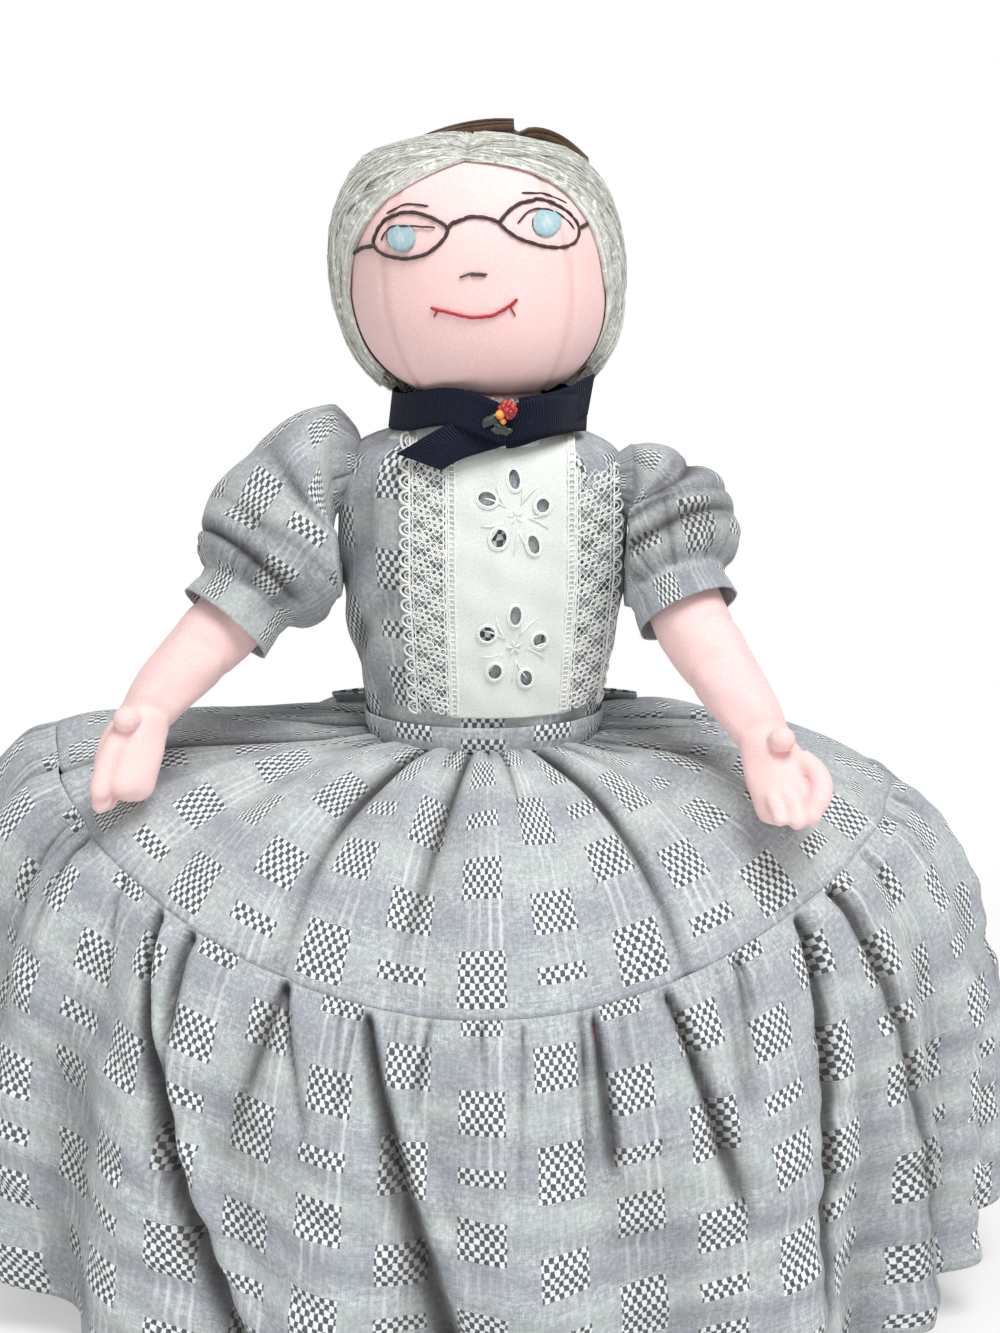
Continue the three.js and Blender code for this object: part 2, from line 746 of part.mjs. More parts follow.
// The line of the cloth at one angle round the doll, without its folds.
function clothLine(a) {
  const side = Math.cos(a) ** 2;
  const power = 2 / (skirtFrontFullness + (skirtSideFullness - skirtFrontFullness) * side);
  const foot = hemHeight(a);
  return Array.from({ length: profileSteps + 1 }, (_, i) => {
    const turn = (Math.PI / 2) * (i / profileSteps);
    const out = Math.sin(turn) ** power;
    const drop = Math.max(0, Math.cos(turn)) ** power;
    const [startX, startY] = [waistHalfWidth + waistEdge, waistHalfDepth + waistEdge];
    return new THREE.Vector3(
      (startX + (skirtSideSpread - startX) * out) * Math.cos(a),
      (startY + (skirtFrontSpread - startY) * out) * Math.sin(a),
      foot + (waistHeight - foot) * drop,
    );
  });
}

function foldDepth(s, length) {
  if (s <= upperTierLength) {
    const share = s / upperTierLength;
    return seamFoldDepth * share * share + (upperFoldDepth - seamFoldDepth / 4) * Math.sin(Math.PI * share) ** 2;
  }
  const share = Math.min(1, (s - upperTierLength) / (length - upperTierLength));
  return seamFoldDepth + (hemFoldDepth - seamFoldDepth) * share ** 0.6;
}

// The folds round the skirt, from -1 to 1 and a little more: unevenly spaced, and slanting in the lower tier.
function foldWave(a, s) {
  const stray = foldStray * (Math.sin(3 * a + 1) + 0.7 * Math.sin(5 * a + 2.2));
  const slant = foldSlant * Math.max(0, s - upperTierLength) * Math.sin(2 * a + 1);
  const strength = 1 + foldUnevenness * Math.sin(7 * a + 0.4);
  return strength * Math.cos(foldCount * a + stray + slant);
}

// How far the cloth is bunched up behind the right hand.
function bunch(a, s) {
  const turn = a - bunchAngle * degrees;
  const gap = Math.atan2(Math.sin(turn), Math.cos(turn)) / (bunchSpread * degrees);
  const along = (s - bunchCentre) / bunchLength;
  return bunchHeight * Math.exp(-gap * gap - along * along);
}

const clothLines = Array.from({ length: skirtColumns }, (_, j) => {
  const a = (2 * Math.PI * j) / skirtColumns;
  const points = clothLine(a);
  const along = [0];
  for (let i = 1; i < points.length; i++) along.push(along[i - 1] + points[i].distanceTo(points[i - 1]));
  return { a, points, along, length: along[along.length - 1] };
});

// A point of the skirt: column j, at distance s along the cloth, inset from the outer face.
function skirtPoint(j, s, inset) {
  const { a, points, along, length } = clothLines[j];
  let i = along.findIndex((d) => d >= s);
  if (i < 0) i = along.length - 1;
  if (i === 0) i = 1;
  const part = Math.min(1, (s - along[i - 1]) / (along[i] - along[i - 1]));
  const on = points[i - 1].clone().lerp(points[i], part);
  const run = points[i].clone().sub(points[i - 1]).normalize();
  const level = new THREE.Vector3(Math.cos(a) / skirtSideSpread, Math.sin(a) / skirtFrontSpread, 0).normalize();
  const up = new THREE.Vector3(0, 0, 1);
  const normal = level.clone().multiplyScalar(-run.z).addScaledVector(up, run.dot(level)).normalize();
  const proud = foldDepth(s, length) * foldWave(a, s) + bunch(a, s) - inset;
  return on.addScaledVector(normal, proud);
}

// A layer of the skirt. Each of its rows gives the distance along the cloth in a column of that length.
function layer(rows, inset) {
  const face = (depth) =>
    rows.map((row, i) =>
      clothLines.map(({ length, points }, j) => {
        const point = skirtPoint(j, row(length), depth);
        const hem = i === rows.length - 1 && row(length) === length;
        return hem ? point.setZ(points[profileSteps].z) : point;
      }),
    );
  return thickSheet(face(inset), face(inset + clothThickness), true);
}

const upperRows = upperTierRows.map((share) => () => share * (upperTierLength - seamGap / 2));
const seam = upperTierLength + seamGap / 2;
const lowerRows = lowerTierRows.map((share) => (length) => seam + share * (length - seam));
const hemRows = [hemBandHeight, 0].map((height) => (length) => length - fit - height);
const liningInset = clothThickness + liningGap;
const hemInset = liningInset + clothThickness + liningGap;

function upperTier() {
  return layer(upperRows, 0);
}

function lowerTier() {
  return layer([...lowerRows, hemRows[0], (length) => length], 0);
}

// The lining has its rows where the tiers have theirs, so that the layers nest.
function lining() {
  return layer([...upperRows, ...lowerRows.slice(1), ...hemRows], liningInset);
}

function hemBand() {
  return layer(hemRows, hemInset);
}

// The resting hands lie on the skirt: each arm leans forward just far enough to clear the cloth.
function restingLean(side, path, lengths) {
  const section = armSection(lengths, 0, 1);
  const cloth = clothLines.flatMap(({ length }, j) =>
    shares(0, 0.75, 16).map((k) => ({ on: skirtPoint(j, k * length, 0), above: skirtPoint(j, k * length, -1) })),
  );
  const spots = shares(0.35, 1, 14).map((k) => ({ at: path.getPointAt(k), radius: section(k).halfWidth }));
  const hinge = new THREE.Vector3(side * armholeX, 0, waistHeight + shoulderPivotHeight);
  const clear = (lean) =>
    spots.every(({ at, radius }) => {
      const p = at.clone().applyAxisAngle(new THREE.Vector3(1, 0, 0), -lean * degrees).add(hinge);
      const near = cloth.reduce((a, b) => (a.on.distanceToSquared(p) < b.on.distanceToSquared(p) ? a : b));
      const height = p.clone().sub(near.on).dot(near.above.clone().sub(near.on).normalize());
      return height > radius + handClearance;
    });
  let lean = 0;
  while (lean < 90 && !clear(lean)) lean += 1;
  return lean;
}

// Assembly

const doll = new THREE.Group();

const gran = new THREE.Group();
gran.position.z = waistHeight;
doll.add(gran);

const girl = new THREE.Group();
girl.rotation.y = Math.PI;
girl.position.z = waistHeight - fit;
doll.add(girl);

// The grandmother's torso and dress
const granDressFoot = fit;
const onBodice = bodiceOffset + 2 * fit; // from the torso to what is sewn on the bodice
gran.add(piece("gran_torso", torso(), skinCotton));
gran.add(piece("gran_neck", neck(granNeckHeight), skinCotton));
gran.add(piece("gran_bodice", bodice(granDressFoot), dressCotton));
gran.add(piece("gran_waistband", waistband(granDressFoot), dressCotton));

// The bib: an eyelet panel between two strips of lace, down the front of the bodice
const bibTop = torsoHeight - bibTopDrop;
const laceTop = torsoHeight - shoulderDrop - laceTopDrop;

function bibStrip(left, right, top) {
  const line = (x) => (share) => {
    const z = bibFoot + (top - bibFoot) * share;
    return [(bibShift + x) * (bibTaper + (1 - bibTaper) * Math.min(1, z / chestHeight)), z];
  };
  return frontSheet(torsoProfile, line(left), line(right), onBodice, trimThickness, 4, 7);
}
const bibHalf = bibWidth / 2;
gran.add(piece("bib_panel", bibStrip(-bibHalf, bibHalf, bibTop), eyeletCotton));
gran.add(piece("bib_lace_right", bibStrip(-bibHalf - fit - laceWidth, -bibHalf - fit, laceTop), laceCotton));
gran.add(piece("bib_lace_left", bibStrip(bibHalf + fit, bibHalf + fit + laceWidth, laceTop), laceCotton));

// The neck ribbon, its crossing tail on the bib, and the brooch
gran.add(piece("neck_ribbon", neckBand(ribbonWidth, ribbonThickness), grosgrain));

function ribbonTail() {
  const [startX, startZ] = [bibShift + ribbonTailLength * 0.3, torsoHeight - ribbonTailTop];
  const run = Math.sqrt(ribbonTailLength ** 2 - ribbonTailDrop ** 2);
  const across = [ribbonTailDrop / ribbonTailLength, -run / ribbonTailLength].map((v) => v * ribbonWidth);
  const upper = (share) => [startX - run * share, startZ - ribbonTailDrop * share];
  const lower = (share) => upper(share).map((v, k) => v + across[k]);
  return frontSheet(torsoProfile, lower, upper, onBodice + trimThickness + fit, ribbonThickness, 3, 8);
}
gran.add(piece("ribbon_tail", ribbonTail(), grosgrain));

// The brooch hangs in front of the neck ribbon: a berry, a bead and two leaves.
const broochZ = torsoHeight + bodiceOffset + fit + ribbonWidth / 2 + broochRise;

// How far forward the ribbon's face is, with the clearance in front of it.
function ribbonFront(x) {
  const share = x / (ribbonHalfWidth + ribbonThickness);
  return -(ribbonHalfDepth + ribbonThickness) * Math.sqrt(1 - share * share) - fit / 2;
}

function bead(radius, x, z) {
  const ball = new THREE.SphereGeometry(radius, 9, 6);
  return ball.translate(broochShift + x, ribbonFront(broochShift + x) - radius, broochZ + z);
}

function leaf(x, z, turn) {
  const blade = new THREE.SphereGeometry(leafLength / 2, 8, 6);
  blade.scale(1, 0.3, 0.5).rotateY(turn * degrees);
  return blade.translate(broochShift + x, ribbonFront(broochShift + x) - leafLength * 0.15, broochZ + z);
}
const beadLow = berryRadius + beadRadius * 0.4;
gran.add(piece("brooch_berry", bead(berryRadius, 0, 0), redGlass));
gran.add(piece("brooch_bead", bead(beadRadius, -berryRadius - beadRadius - fit, 0), amberGlass));
gran.add(piece("brooch_leaf_upper", leaf(-berryRadius - 0.2, -beadLow - 0.8, 35), greenGlass));
gran.add(piece("brooch_leaf_lower", leaf(berryRadius + 0.5, -beadLow - 0.8, -35), greenGlass));

// A sash bow at the back of the waistband
function waistBow() {
  const seat = waistHalfDepth + onBodice + clothThickness + fit + waistBowKnotRadius;
  const height = granDressFoot + waistBowKnotRadius;
  const knot = new THREE.SphereGeometry(waistBowKnotRadius, 10, 8).translate(0, seat, height);
  const lobe = (side, length, sag, halfHeight) =>
    bowLobe(
      [0, 0.5, 1].map((k) => new THREE.Vector3(side * k * length, seat + k * 2, height + 4 * k - sag * k * k)),
      halfHeight,
      waistBowKnotRadius * 0.7,
    );
  const loops = [-1, 1].map((side) => lobe(side, waistBowLoopLength, 6, waistBowLoopHeight / 1.6));
  const bow = joined(knot, ...loops);
  const clearBack = stuffed(ellipseRings(torsoProfile, onBodice + clothThickness + fit));
  const floorBox = new THREE.BoxGeometry(400, 400, 60).translate(0, 0, -30 + fit + hemFoldDepth / 4);
  return cut(bow, clearBack, floorBox);
}
gran.add(piece("waist_bow", waistBow(), dressCotton));

// The grandmother's head
const granHead = new THREE.Group();
granHead.position.z = torsoHeight + granNeckHeight + 2 * fit;
gran.add(granHead);
granHead.add(piece("gran_head", head(), skinCotton));
granHead.add(piece("gran_hair", hair(partedOpening()), greyYarn));
granHead.add(piece("hair_bow_knot", hairBowPiece(hairBowKnotShape(0)), brownFelt));
granHead.add(piece("hair_bow_loop_right", hairBowLoop(-1, hairBowRightLength), brownFelt));
granHead.add(piece("hair_bow_loop_left", hairBowLoop(1, hairBowLeftLength), brownFelt));
granHead.add(piece("spectacles", spectacles(), darkThread));
granHead.add(piece("gran_iris_right", iris([rightLens[0] - 3.5, rightLens[1]]), blueThread));
granHead.add(piece("gran_iris_left", iris([leftLens[0] + 2.5, leftLens[1]]), blueThread));
const browRise = lensHalfHeight + 2.8;
const browRight = [-0.4, 0, 0.6].map((k) => [rightLens[0] + k * lensHalfWidth, rightLens[1] + browRise + 3 * k]);
const browLeft = [-0.6, 0, 0.5].map((k) => [leftLens[0] + k * lensHalfWidth, leftLens[1] + browRise - 3 * k]);
granHead.add(piece("gran_brow_right", faceThread(browRight, 4), darkThread));
granHead.add(piece("gran_brow_left", faceThread(browLeft, 4), darkThread));
const noseHeight = headHeight * 0.475;
const noseLine = [[-5.5, noseHeight - 0.6], [-1.5, noseHeight + 0.6], [2.5, noseHeight]];
const mouthHeight = headHeight * 0.3;
const mouthShape = [[-15.5, 2.6], [-5, 0], [1.5, 0], [7, 2.2], [12.5, 5.7]];
const mouthLine = mouthShape.map(([x, rise]) => [x, mouthHeight + rise]);
granHead.add(piece("gran_nose_stitch", faceThread(noseLine, 4), darkThread));
granHead.add(piece("gran_mouth_stitch", faceThread(mouthLine, 8), redThread));

// The grandmother's arms, each with a sewn-on thumb and a puff sleeve
const armLengths = [upperArmLength, forearmLength, handLength];
const granArms = [
  ["right", -1, [rightUpperSplay, rightForearmSplay, rightHandSplay], rightSleeveLength],
  ["left", 1, [leftUpperSplay, leftForearmSplay, leftHandSplay], leftSleeveLength],
];
for (const [name, side, splays, sleeveLength] of granArms) {
  const path = armPath(side, armLengths, splays);
  const limb = new THREE.Group();
  limb.position.set(side * armholeX, 0, shoulderPivotHeight);
  limb.rotation.x = -restingLean(side, path, armLengths) * degrees;
  limb.add(piece(`gran_arm_${name}`, arm(side, path, armLengths, 1), skinCotton));
  limb.add(piece(`gran_thumb_${name}`, thumb(side, path, armLengths), skinCotton));
  const cloth = sleeve(side, path, armLengths, sleeveLength, 1, 3 * sleevePleatCount, 6);
  limb.add(piece(`gran_sleeve_${name}`, cloth, dressCotton));
  gran.add(limb);
}

// The skirt: two tiers outside, the girl's lining inside, and the hem that joins them
doll.add(piece("skirt_upper_tier", upperTier(), dressCotton));
doll.add(piece("skirt_lower_tier", lowerTier(), dressCotton));
doll.add(piece("skirt_lining", lining(), calico));
doll.add(piece("skirt_hem", hemBand(), calico));

// The girl's torso and dress, upside down under the skirt
const girlDressFoot = skirtStack + waistDip + fit;
girl.add(piece("girl_torso", torso(), skinCotton));
girl.add(piece("girl_neck", neck(girlNeckHeight), skinCotton));
girl.add(piece("girl_bodice", bodice(girlDressFoot), calico));
girl.add(piece("girl_waistband", waistband(girlDressFoot), calico));
girl.add(piece("girl_collar", neckBand(girlNeckHeight - fit - bodiceOffset, ribbonThickness), eyeletCotton));

// The girl's head, whose crown is pressed flat on the floor
const girlHead = new THREE.Group();
girlHead.position.z = torsoHeight + girlNeckHeight + 2 * fit;
girl.add(girlHead);
const floorInHead = girlBodyHeight - girlHead.position.z;
const belowFloor = new THREE.BoxGeometry(400, 400, 100).translate(0, 0, floorInHead + 50);
girlHead.add(piece("girl_head", head(), skinCotton));
girlHead.add(piece("girl_hair", cut(hair(fringeOpening()), belowFloor), chestnutYarn));
girlHead.add(piece("girl_bun", bun(), chestnutYarn));
const girlEyeHeight = headHeight * 0.53;
girlHead.add(piece("girl_iris_right", iris([-15, girlEyeHeight]), blueThread));
girlHead.add(piece("girl_iris_left", iris([15, girlEyeHeight]), blueThread));
const girlMouthHeight = headHeight * 0.26;
const girlSmile = [[-9, girlMouthHeight + 3.5], [0, girlMouthHeight], [9, girlMouthHeight + 3.5]];
girlHead.add(piece("girl_mouth_stitch", faceThread(girlSmile, 6), redThread));

// The girl's arms hang down towards the floor, beside her head
const girlLengths = [girlUpperArmLength, girlForearmLength, girlHandLength];
const girlScale = girlUpperArmLength / upperArmLength;
for (const [name, side] of [["right", -1], ["left", 1]]) {
  const splays = [180 - girlArmSplay, 180 - girlArmSplay, 180 - girlArmSplay];
  const path = armPath(side, girlLengths, splays);
  const limb = new THREE.Group();
  limb.position.set(side * armholeX, 0, shoulderPivotHeight);
  limb.add(piece(`girl_arm_${name}`, arm(side, path, girlLengths, girlScale), skinCotton));
  const cloth = sleeve(side, path, girlLengths, girlSleeveLength, girlScale, 2 * sleevePleatCount, 4);
  limb.add(piece(`girl_sleeve_${name}`, cloth, calico));
  girl.add(limb);
}

export default doll;
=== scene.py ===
import math
import bpy
import numpy as np
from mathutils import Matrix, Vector


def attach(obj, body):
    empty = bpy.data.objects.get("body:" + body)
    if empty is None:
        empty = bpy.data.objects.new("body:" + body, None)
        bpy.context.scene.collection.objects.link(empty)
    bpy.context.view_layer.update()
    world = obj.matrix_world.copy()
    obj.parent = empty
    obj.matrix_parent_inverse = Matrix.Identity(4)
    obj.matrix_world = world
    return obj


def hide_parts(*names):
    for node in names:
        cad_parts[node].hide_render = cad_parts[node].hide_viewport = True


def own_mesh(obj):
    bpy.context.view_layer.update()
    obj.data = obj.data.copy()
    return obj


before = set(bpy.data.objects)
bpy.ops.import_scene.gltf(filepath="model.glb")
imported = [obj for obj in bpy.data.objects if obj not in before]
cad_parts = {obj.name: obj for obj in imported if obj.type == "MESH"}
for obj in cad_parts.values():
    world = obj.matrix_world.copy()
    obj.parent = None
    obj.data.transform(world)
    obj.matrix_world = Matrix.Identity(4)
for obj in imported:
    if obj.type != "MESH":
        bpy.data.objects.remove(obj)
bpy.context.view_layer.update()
scene = bpy.context.scene
TAU = 2 * math.pi
MM = 0.001  # shapes are worked out in millimetres

# Sizes that repeat the part's own, in mm
WAIST = 195.5  # height of the waist seam
GIRL_WAIST = 195.1
PIVOT_X = 49.31
PIVOT_Z = 94.0  # shoulder above the waist
HEAD_FOOT = 118.8  # chin above the waist, grandmother
GIRL_HEAD_FOOT = 110.8
HEAD_HEIGHT, HEAD_HALF_WIDTH, HEAD_HALF_DEPTH = 79.0, 42.0, 39.0
HEAD_SEAT = 23.0  # half width of the head's underside
HEAD_LEAN = 0.045  # of the grandmother's crown towards the right hand, mm per mm
HAIR = 5.5  # thickness of the hair
NECK_RADIUS = 19.0
TORSO_TOP = 104.0  # collar above the waist
TORSO_STOPS = [  # height, half width, half depth
    (0, 36, 26),
    (58, 46.5, 31),
    (95, 44.5, 27),
    (TORSO_TOP, 29, 21),
]
TIER = 105.0  # upper tier along the cloth

# Cloth, in mm
COLUMN = 24.5  # width of one column of the dress cotton's woven blocks
CLOTH = 0.5  # thickness of dress cotton
RIBBON = 12.2  # width of the neck ribbon


def smooth(t):
    t = np.clip(t, 0, 1)
    return t * t * (3 - 2 * t)


def unit(v):
    return v / np.maximum(np.linalg.norm(v, axis=-1, keepdims=True), 1e-9)


def ring(n):
    """n even angles round a form."""
    return np.arange(n) * TAU / n


def bell(x, width):
    """1 at zero, falling away over width."""
    return np.exp(-((x / width) ** 2))


def past(a, centre):
    """The angle from centre to a, -pi to pi."""
    return (a - centre + math.pi) % TAU - math.pi


def turned(u, v, degrees):
    """A flat place turned about the origin."""
    c, s = math.cos(math.radians(degrees)), math.sin(math.radians(degrees))
    return u * c - v * s, u * s + v * c


def stacked(*columns):
    """Coordinates of any shapes that fit together, as points."""
    return np.stack(np.broadcast_arrays(*columns), -1)


def rings(a, half_width, half_depth, z):
    """Points round level ellipses; a is one row of angles."""
    return stacked(half_width * np.cos(a)[:, None], half_depth * np.sin(a)[:, None], z)


def lengths_along(path):
    """How far along a polyline each of its points is."""
    return np.concatenate([[0], np.cumsum(np.linalg.norm(np.diff(path, axis=0), axis=1))])


def follow(t, at, path):
    """Points at t on a path whose own points are at the places given."""
    return np.stack([np.interp(t, at, path[:, i]) for i in range(3)], -1)


def spline(points, n):
    """n points on a smooth curve through the given ones."""
    p = np.asarray(points, float)
    p = np.vstack([2 * p[0] - p[1], p, 2 * p[-1] - p[-2]])
    steps = np.linalg.norm(np.diff(p, axis=0), axis=1)
    knots = np.concatenate([[0], np.cumsum(steps**0.5)])
    t = np.linspace(knots[1], knots[-2], n)
    k = np.clip(np.searchsorted(knots, t, "right") - 1, 1, len(p) - 3)
    t = t[:, None]
    at = [knots[k + i][:, None] for i in (-1, 0, 1, 2)]
    row = [p[k + i] for i in (-1, 0, 1, 2)]

    def blend(a, b, i, j):
        return ((at[j] - t) * a + (t - at[i]) * b) / (at[j] - at[i])

    a, b, c = (blend(row[i], row[i + 1], i, i + 1) for i in range(3))
    return blend(blend(a, b, 0, 2), blend(b, c, 1, 3), 1, 2)


def resample(path, n):
    """n points at even distances along a polyline."""
    d = lengths_along(path)
    return follow(np.linspace(0, d[-1], n), d, path)


class Soup:
    """Faces gathered into one mesh."""

    def __init__(self):
        self.verts, self.faces, self.uvs, self.tints, self.count = [], [], [], [], 0

    def add(self, verts, faces, uv=None, tint=0.0):
        verts = np.asarray(verts, float).reshape(-1, 3)
        faces = np.asarray(faces, int)
        self.verts.append(verts)
        self.faces.append(faces + self.count)
        self.uvs.append(np.zeros((faces.size, 2)) if uv is None else np.asarray(uv, float).reshape(-1, 2))
        self.tints.append(np.broadcast_to(np.asarray(tint, float).ravel(), (len(verts),)))
        self.count += len(verts)
        return self

    def grid(self, points, wrap=False, flip=False, uv=None, tint=0.0, caps=False):
        """A net of quads, points[i, j]; uv has one more row than points where it wraps."""
        nu, nv = points.shape[:2]
        i, j = np.meshgrid(np.arange(nu if wrap else nu - 1), np.arange(nv - 1), indexing="ij")
        k = (i + 1) % nu
        quads = np.stack([i * nv + j, k * nv + j, k * nv + j + 1, i * nv + j + 1], -1).reshape(-1, 4)
        corners = None
        if uv is not None:
            corners = np.stack([uv[i, j], uv[i + 1, j], uv[i + 1, j + 1], uv[i, j + 1]], -2)
            corners = corners.reshape(-1, 4, 2)
        if flip:
            quads = quads[:, ::-1]
            corners = None if corners is None else corners[:, ::-1]
        base = self.count
        self.add(points, quads, corners, tint)
        if caps:
            for end in (np.arange(nu) * nv, np.arange(nu)[::-1] * nv + nv - 1):
                self.faces.append(((end if flip else end[::-1]) + base)[None])
                self.uvs.append(np.zeros((nu, 2)))
        return self

    def tube(self, path, up, radius, sides=5, closed=False, tint=0.0):
        """A thread along path; up points away from what it lies on."""
        path = np.asarray(path, float)
        run = np.roll(path, -1, 0) - np.roll(path, 1, 0) if closed else np.gradient(path, axis=0)
        run = unit(run)
        side = unit(np.cross(run, np.broadcast_to(up, path.shape)))
        high = np.cross(side, run)
        r = np.broadcast_to(np.asarray(radius, float), (len(path),))[:, None, None]
        a = ring(sides)[None, :, None]
        points = path[:, None] + r * (np.cos(a) * side[:, None] + np.sin(a) * high[:, None])
        points = points.transpose(1, 0, 2)
        if closed:
            n = len(path)
            i, j = np.meshgrid(np.arange(sides), np.arange(n), indexing="ij")
            k, after = (i + 1) % sides, (j + 1) % n
            quads = np.stack([i * n + j, k * n + j, k * n + after, i * n + after], -1)
            return self.add(points, quads.reshape(-1, 4)[:, ::-1], None, tint)
        return self.grid(points, wrap=True, flip=True, tint=tint, caps=True)

    def make(self, name, turn=None):
        """The mesh object, its shape passed through turn."""
        verts = np.concatenate(self.verts)
        if turn is not None:
            verts = turn(verts)
        me = bpy.data.meshes.new(name)
        me.vertices.add(len(verts))
        me.vertices.foreach_set("co", (verts * MM).astype(np.float32).ravel())
        corners = np.concatenate([f.ravel() for f in self.faces]).astype(np.int32)
        sizes = np.concatenate([np.full(len(f), f.shape[1]) for f in self.faces])
        me.loops.add(len(corners))
        me.loops.foreach_set("vertex_index", corners)
        me.polygons.add(len(sizes))
        starts = np.concatenate([[0], np.cumsum(sizes)[:-1]])
        me.polygons.foreach_set("loop_start", starts.astype(np.int32))
        me.polygons.foreach_set("use_smooth", np.ones(len(sizes), bool))
        uvs, tints = np.concatenate(self.uvs) * MM, np.concatenate(self.tints)
        me.uv_layers.new(name="UVMap").data.foreach_set("uv", uvs.astype(np.float32).ravel())
        me.attributes.new("tint", "FLOAT", "POINT").data.foreach_set("value", tints.astype(np.float32))
        me.update(calc_edges=True)
        me.validate()
        obj = bpy.data.objects.new(name, me)
        scene.collection.objects.link(obj)
        return obj


def thicken(obj, thickness):
    """Cloth thickness, on the side away from the face."""
    m = obj.modifiers.new("cloth", "SOLIDIFY")
    m.thickness = thickness * MM
    m.offset = -1
    m.use_even_offset = False
    return obj


def settle(obj, *modifiers):
    """Modifiers applied, so that the mesh is final."""
    for kind, values in modifiers:
        m = obj.modifiers.new(kind, kind)
        for key, value in values.items():
            setattr(m, key, value)
    dg = bpy.context.evaluated_depsgraph_get()
    done = bpy.data.meshes.new_from_object(obj.evaluated_get(dg))
    obj.modifiers.clear()
    obj.data = done
    done.polygons.foreach_set("use_smooth", np.ones(len(done.polygons), bool))
    return obj


def place(obj, body, slot, nodes, flat=None, held="stretched", rests=(), fill=None, area=None):
    """Material and body; the model's parts that the piece replaces are hidden."""
    obj.data.materials.clear()
    obj.data.materials.append(MATERIALS[slot])
    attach(obj, body)
    if nodes:
        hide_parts(*nodes)
    return obj


def sew(soup, name, turn, thickness, *said, **more):
    """A piece of cloth: the mesh with a thickness, then placed."""
    return place(thicken(soup.make(name, turn), thickness), *said, **more)


# Materials


def rgb(r, g, b):
    """A colour written as it is seen, 0 to 255."""
    c = np.array([r, g, b]) / 255
    return (*np.where(c > 0.04045, ((c + 0.055) / 1.055) ** 2.4, c / 12.92), 1.0)


class Shade:
    """A node material, written as nested calls."""

    def __init__(self, name):
        self.mat = bpy.data.materials.new(name)
        self.mat.use_nodes = True
        self.tree = self.mat.node_tree
        self.tree.nodes.clear()
        self.out = self.tree.nodes.new("ShaderNodeOutputMaterial")
        self.bsdf = self.tree.nodes.new("ShaderNodeBsdfPrincipled")
        self.tree.links.new(self.bsdf.outputs[0], self.out.inputs[0])
        place_in = self.tree.nodes.new("ShaderNodeTexCoord")
        self.uv, self.local = place_in.outputs["UV"], place_in.outputs["Object"]

    def put(self, value, socket):
        if isinstance(value, bpy.types.NodeSocket):
            self.tree.links.new(value, socket)
        elif value is not None:
            socket.default_value = value

    def node(self, kind, named, out=0, **settings):
        n = self.tree.nodes.new("ShaderNode" + kind)
        for key, value in settings.items():
            setattr(n, key, value)
        for key, value in named.items():
            self.put(value, n.inputs[key])
        return n.outputs[out]

    def math(self, op, *values):
        return self.node("Math", dict(enumerate(values)), operation=op)

    def mul(self, a, b):
        return self.math("MULTIPLY", a, b)

    def add(self, a, b):
        return self.math("ADD", a, b)

    def scaled(self, vector, x, y, z=1.0):
        return self.node("VectorMath", {0: vector, 1: (x, y, z)}, operation="MULTIPLY")

    def noise(self, vector, scale, detail=3.0, rough=0.6):
        named = {"Vector": vector, "Scale": scale, "Detail": detail, "Roughness": rough}
        return self.node("TexNoise", named)

    def ramp(self, value, low, high, to_low=0.0, to_high=1.0):
        return self.node("MapRange", {0: value, 1: low, 2: high, 3: to_low, 4: to_high})

    def mix(self, share, a, b):
        return self.node("Mix", {0: share, 6: a, 7: b}, 2, data_type="RGBA")

    def split(self, vector):
        n = self.tree.nodes.new("ShaderNodeSeparateXYZ")
        self.put(vector, n.inputs[0])
        return n.outputs

    def tint(self):
        return self.node("Attribute", {}, "Fac", attribute_name="tint")

    def bump(self, height, strength, distance):
        return self.node("Bump", {"Strength": strength, "Distance": distance, "Height": height})

    def weave(self, vector, pitch):
        """Height of a plain weave with that thread pitch in metres."""
        x, y = self.split(vector)[:2]
        warp = self.math("SINE", self.mul(x, TAU / pitch / 2))
        weft = self.math("SINE", self.mul(y, TAU / pitch / 2))
        return self.mul(warp, weft)

    def done(self, color, rough, normal=None, **sockets):
        self.put(color, self.bsdf.inputs["Base Color"])
        self.put(rough, self.bsdf.inputs["Roughness"])
        self.put(normal, self.bsdf.inputs["Normal"])
        for key, value in sockets.items():
            self.bsdf.inputs[key.replace("_", " ")].default_value = value
        return self.mat


BLOCK_ROW = 4.0  # height in mm of one row of checks
BLOCK_REPEAT = 26.0  # rows after which a column of blocks starts again
BLOCKS = ((2.5, 2.3), (10.5, 1.7), (15.5, 0.7), (20.5, 1.7))  # middle and half height, in rows
BLOCK_HALF = 0.3  # half width of a block, as a share of its column
BLOCK_CHECKS = 5  # checks across a block
STRIPE, SLUB = 34.0, 3.5  # mm from one weft stripe, and from one slub thread, to the next
THREAD = 0.0005  # pitch of a plain weave's threads, in metres


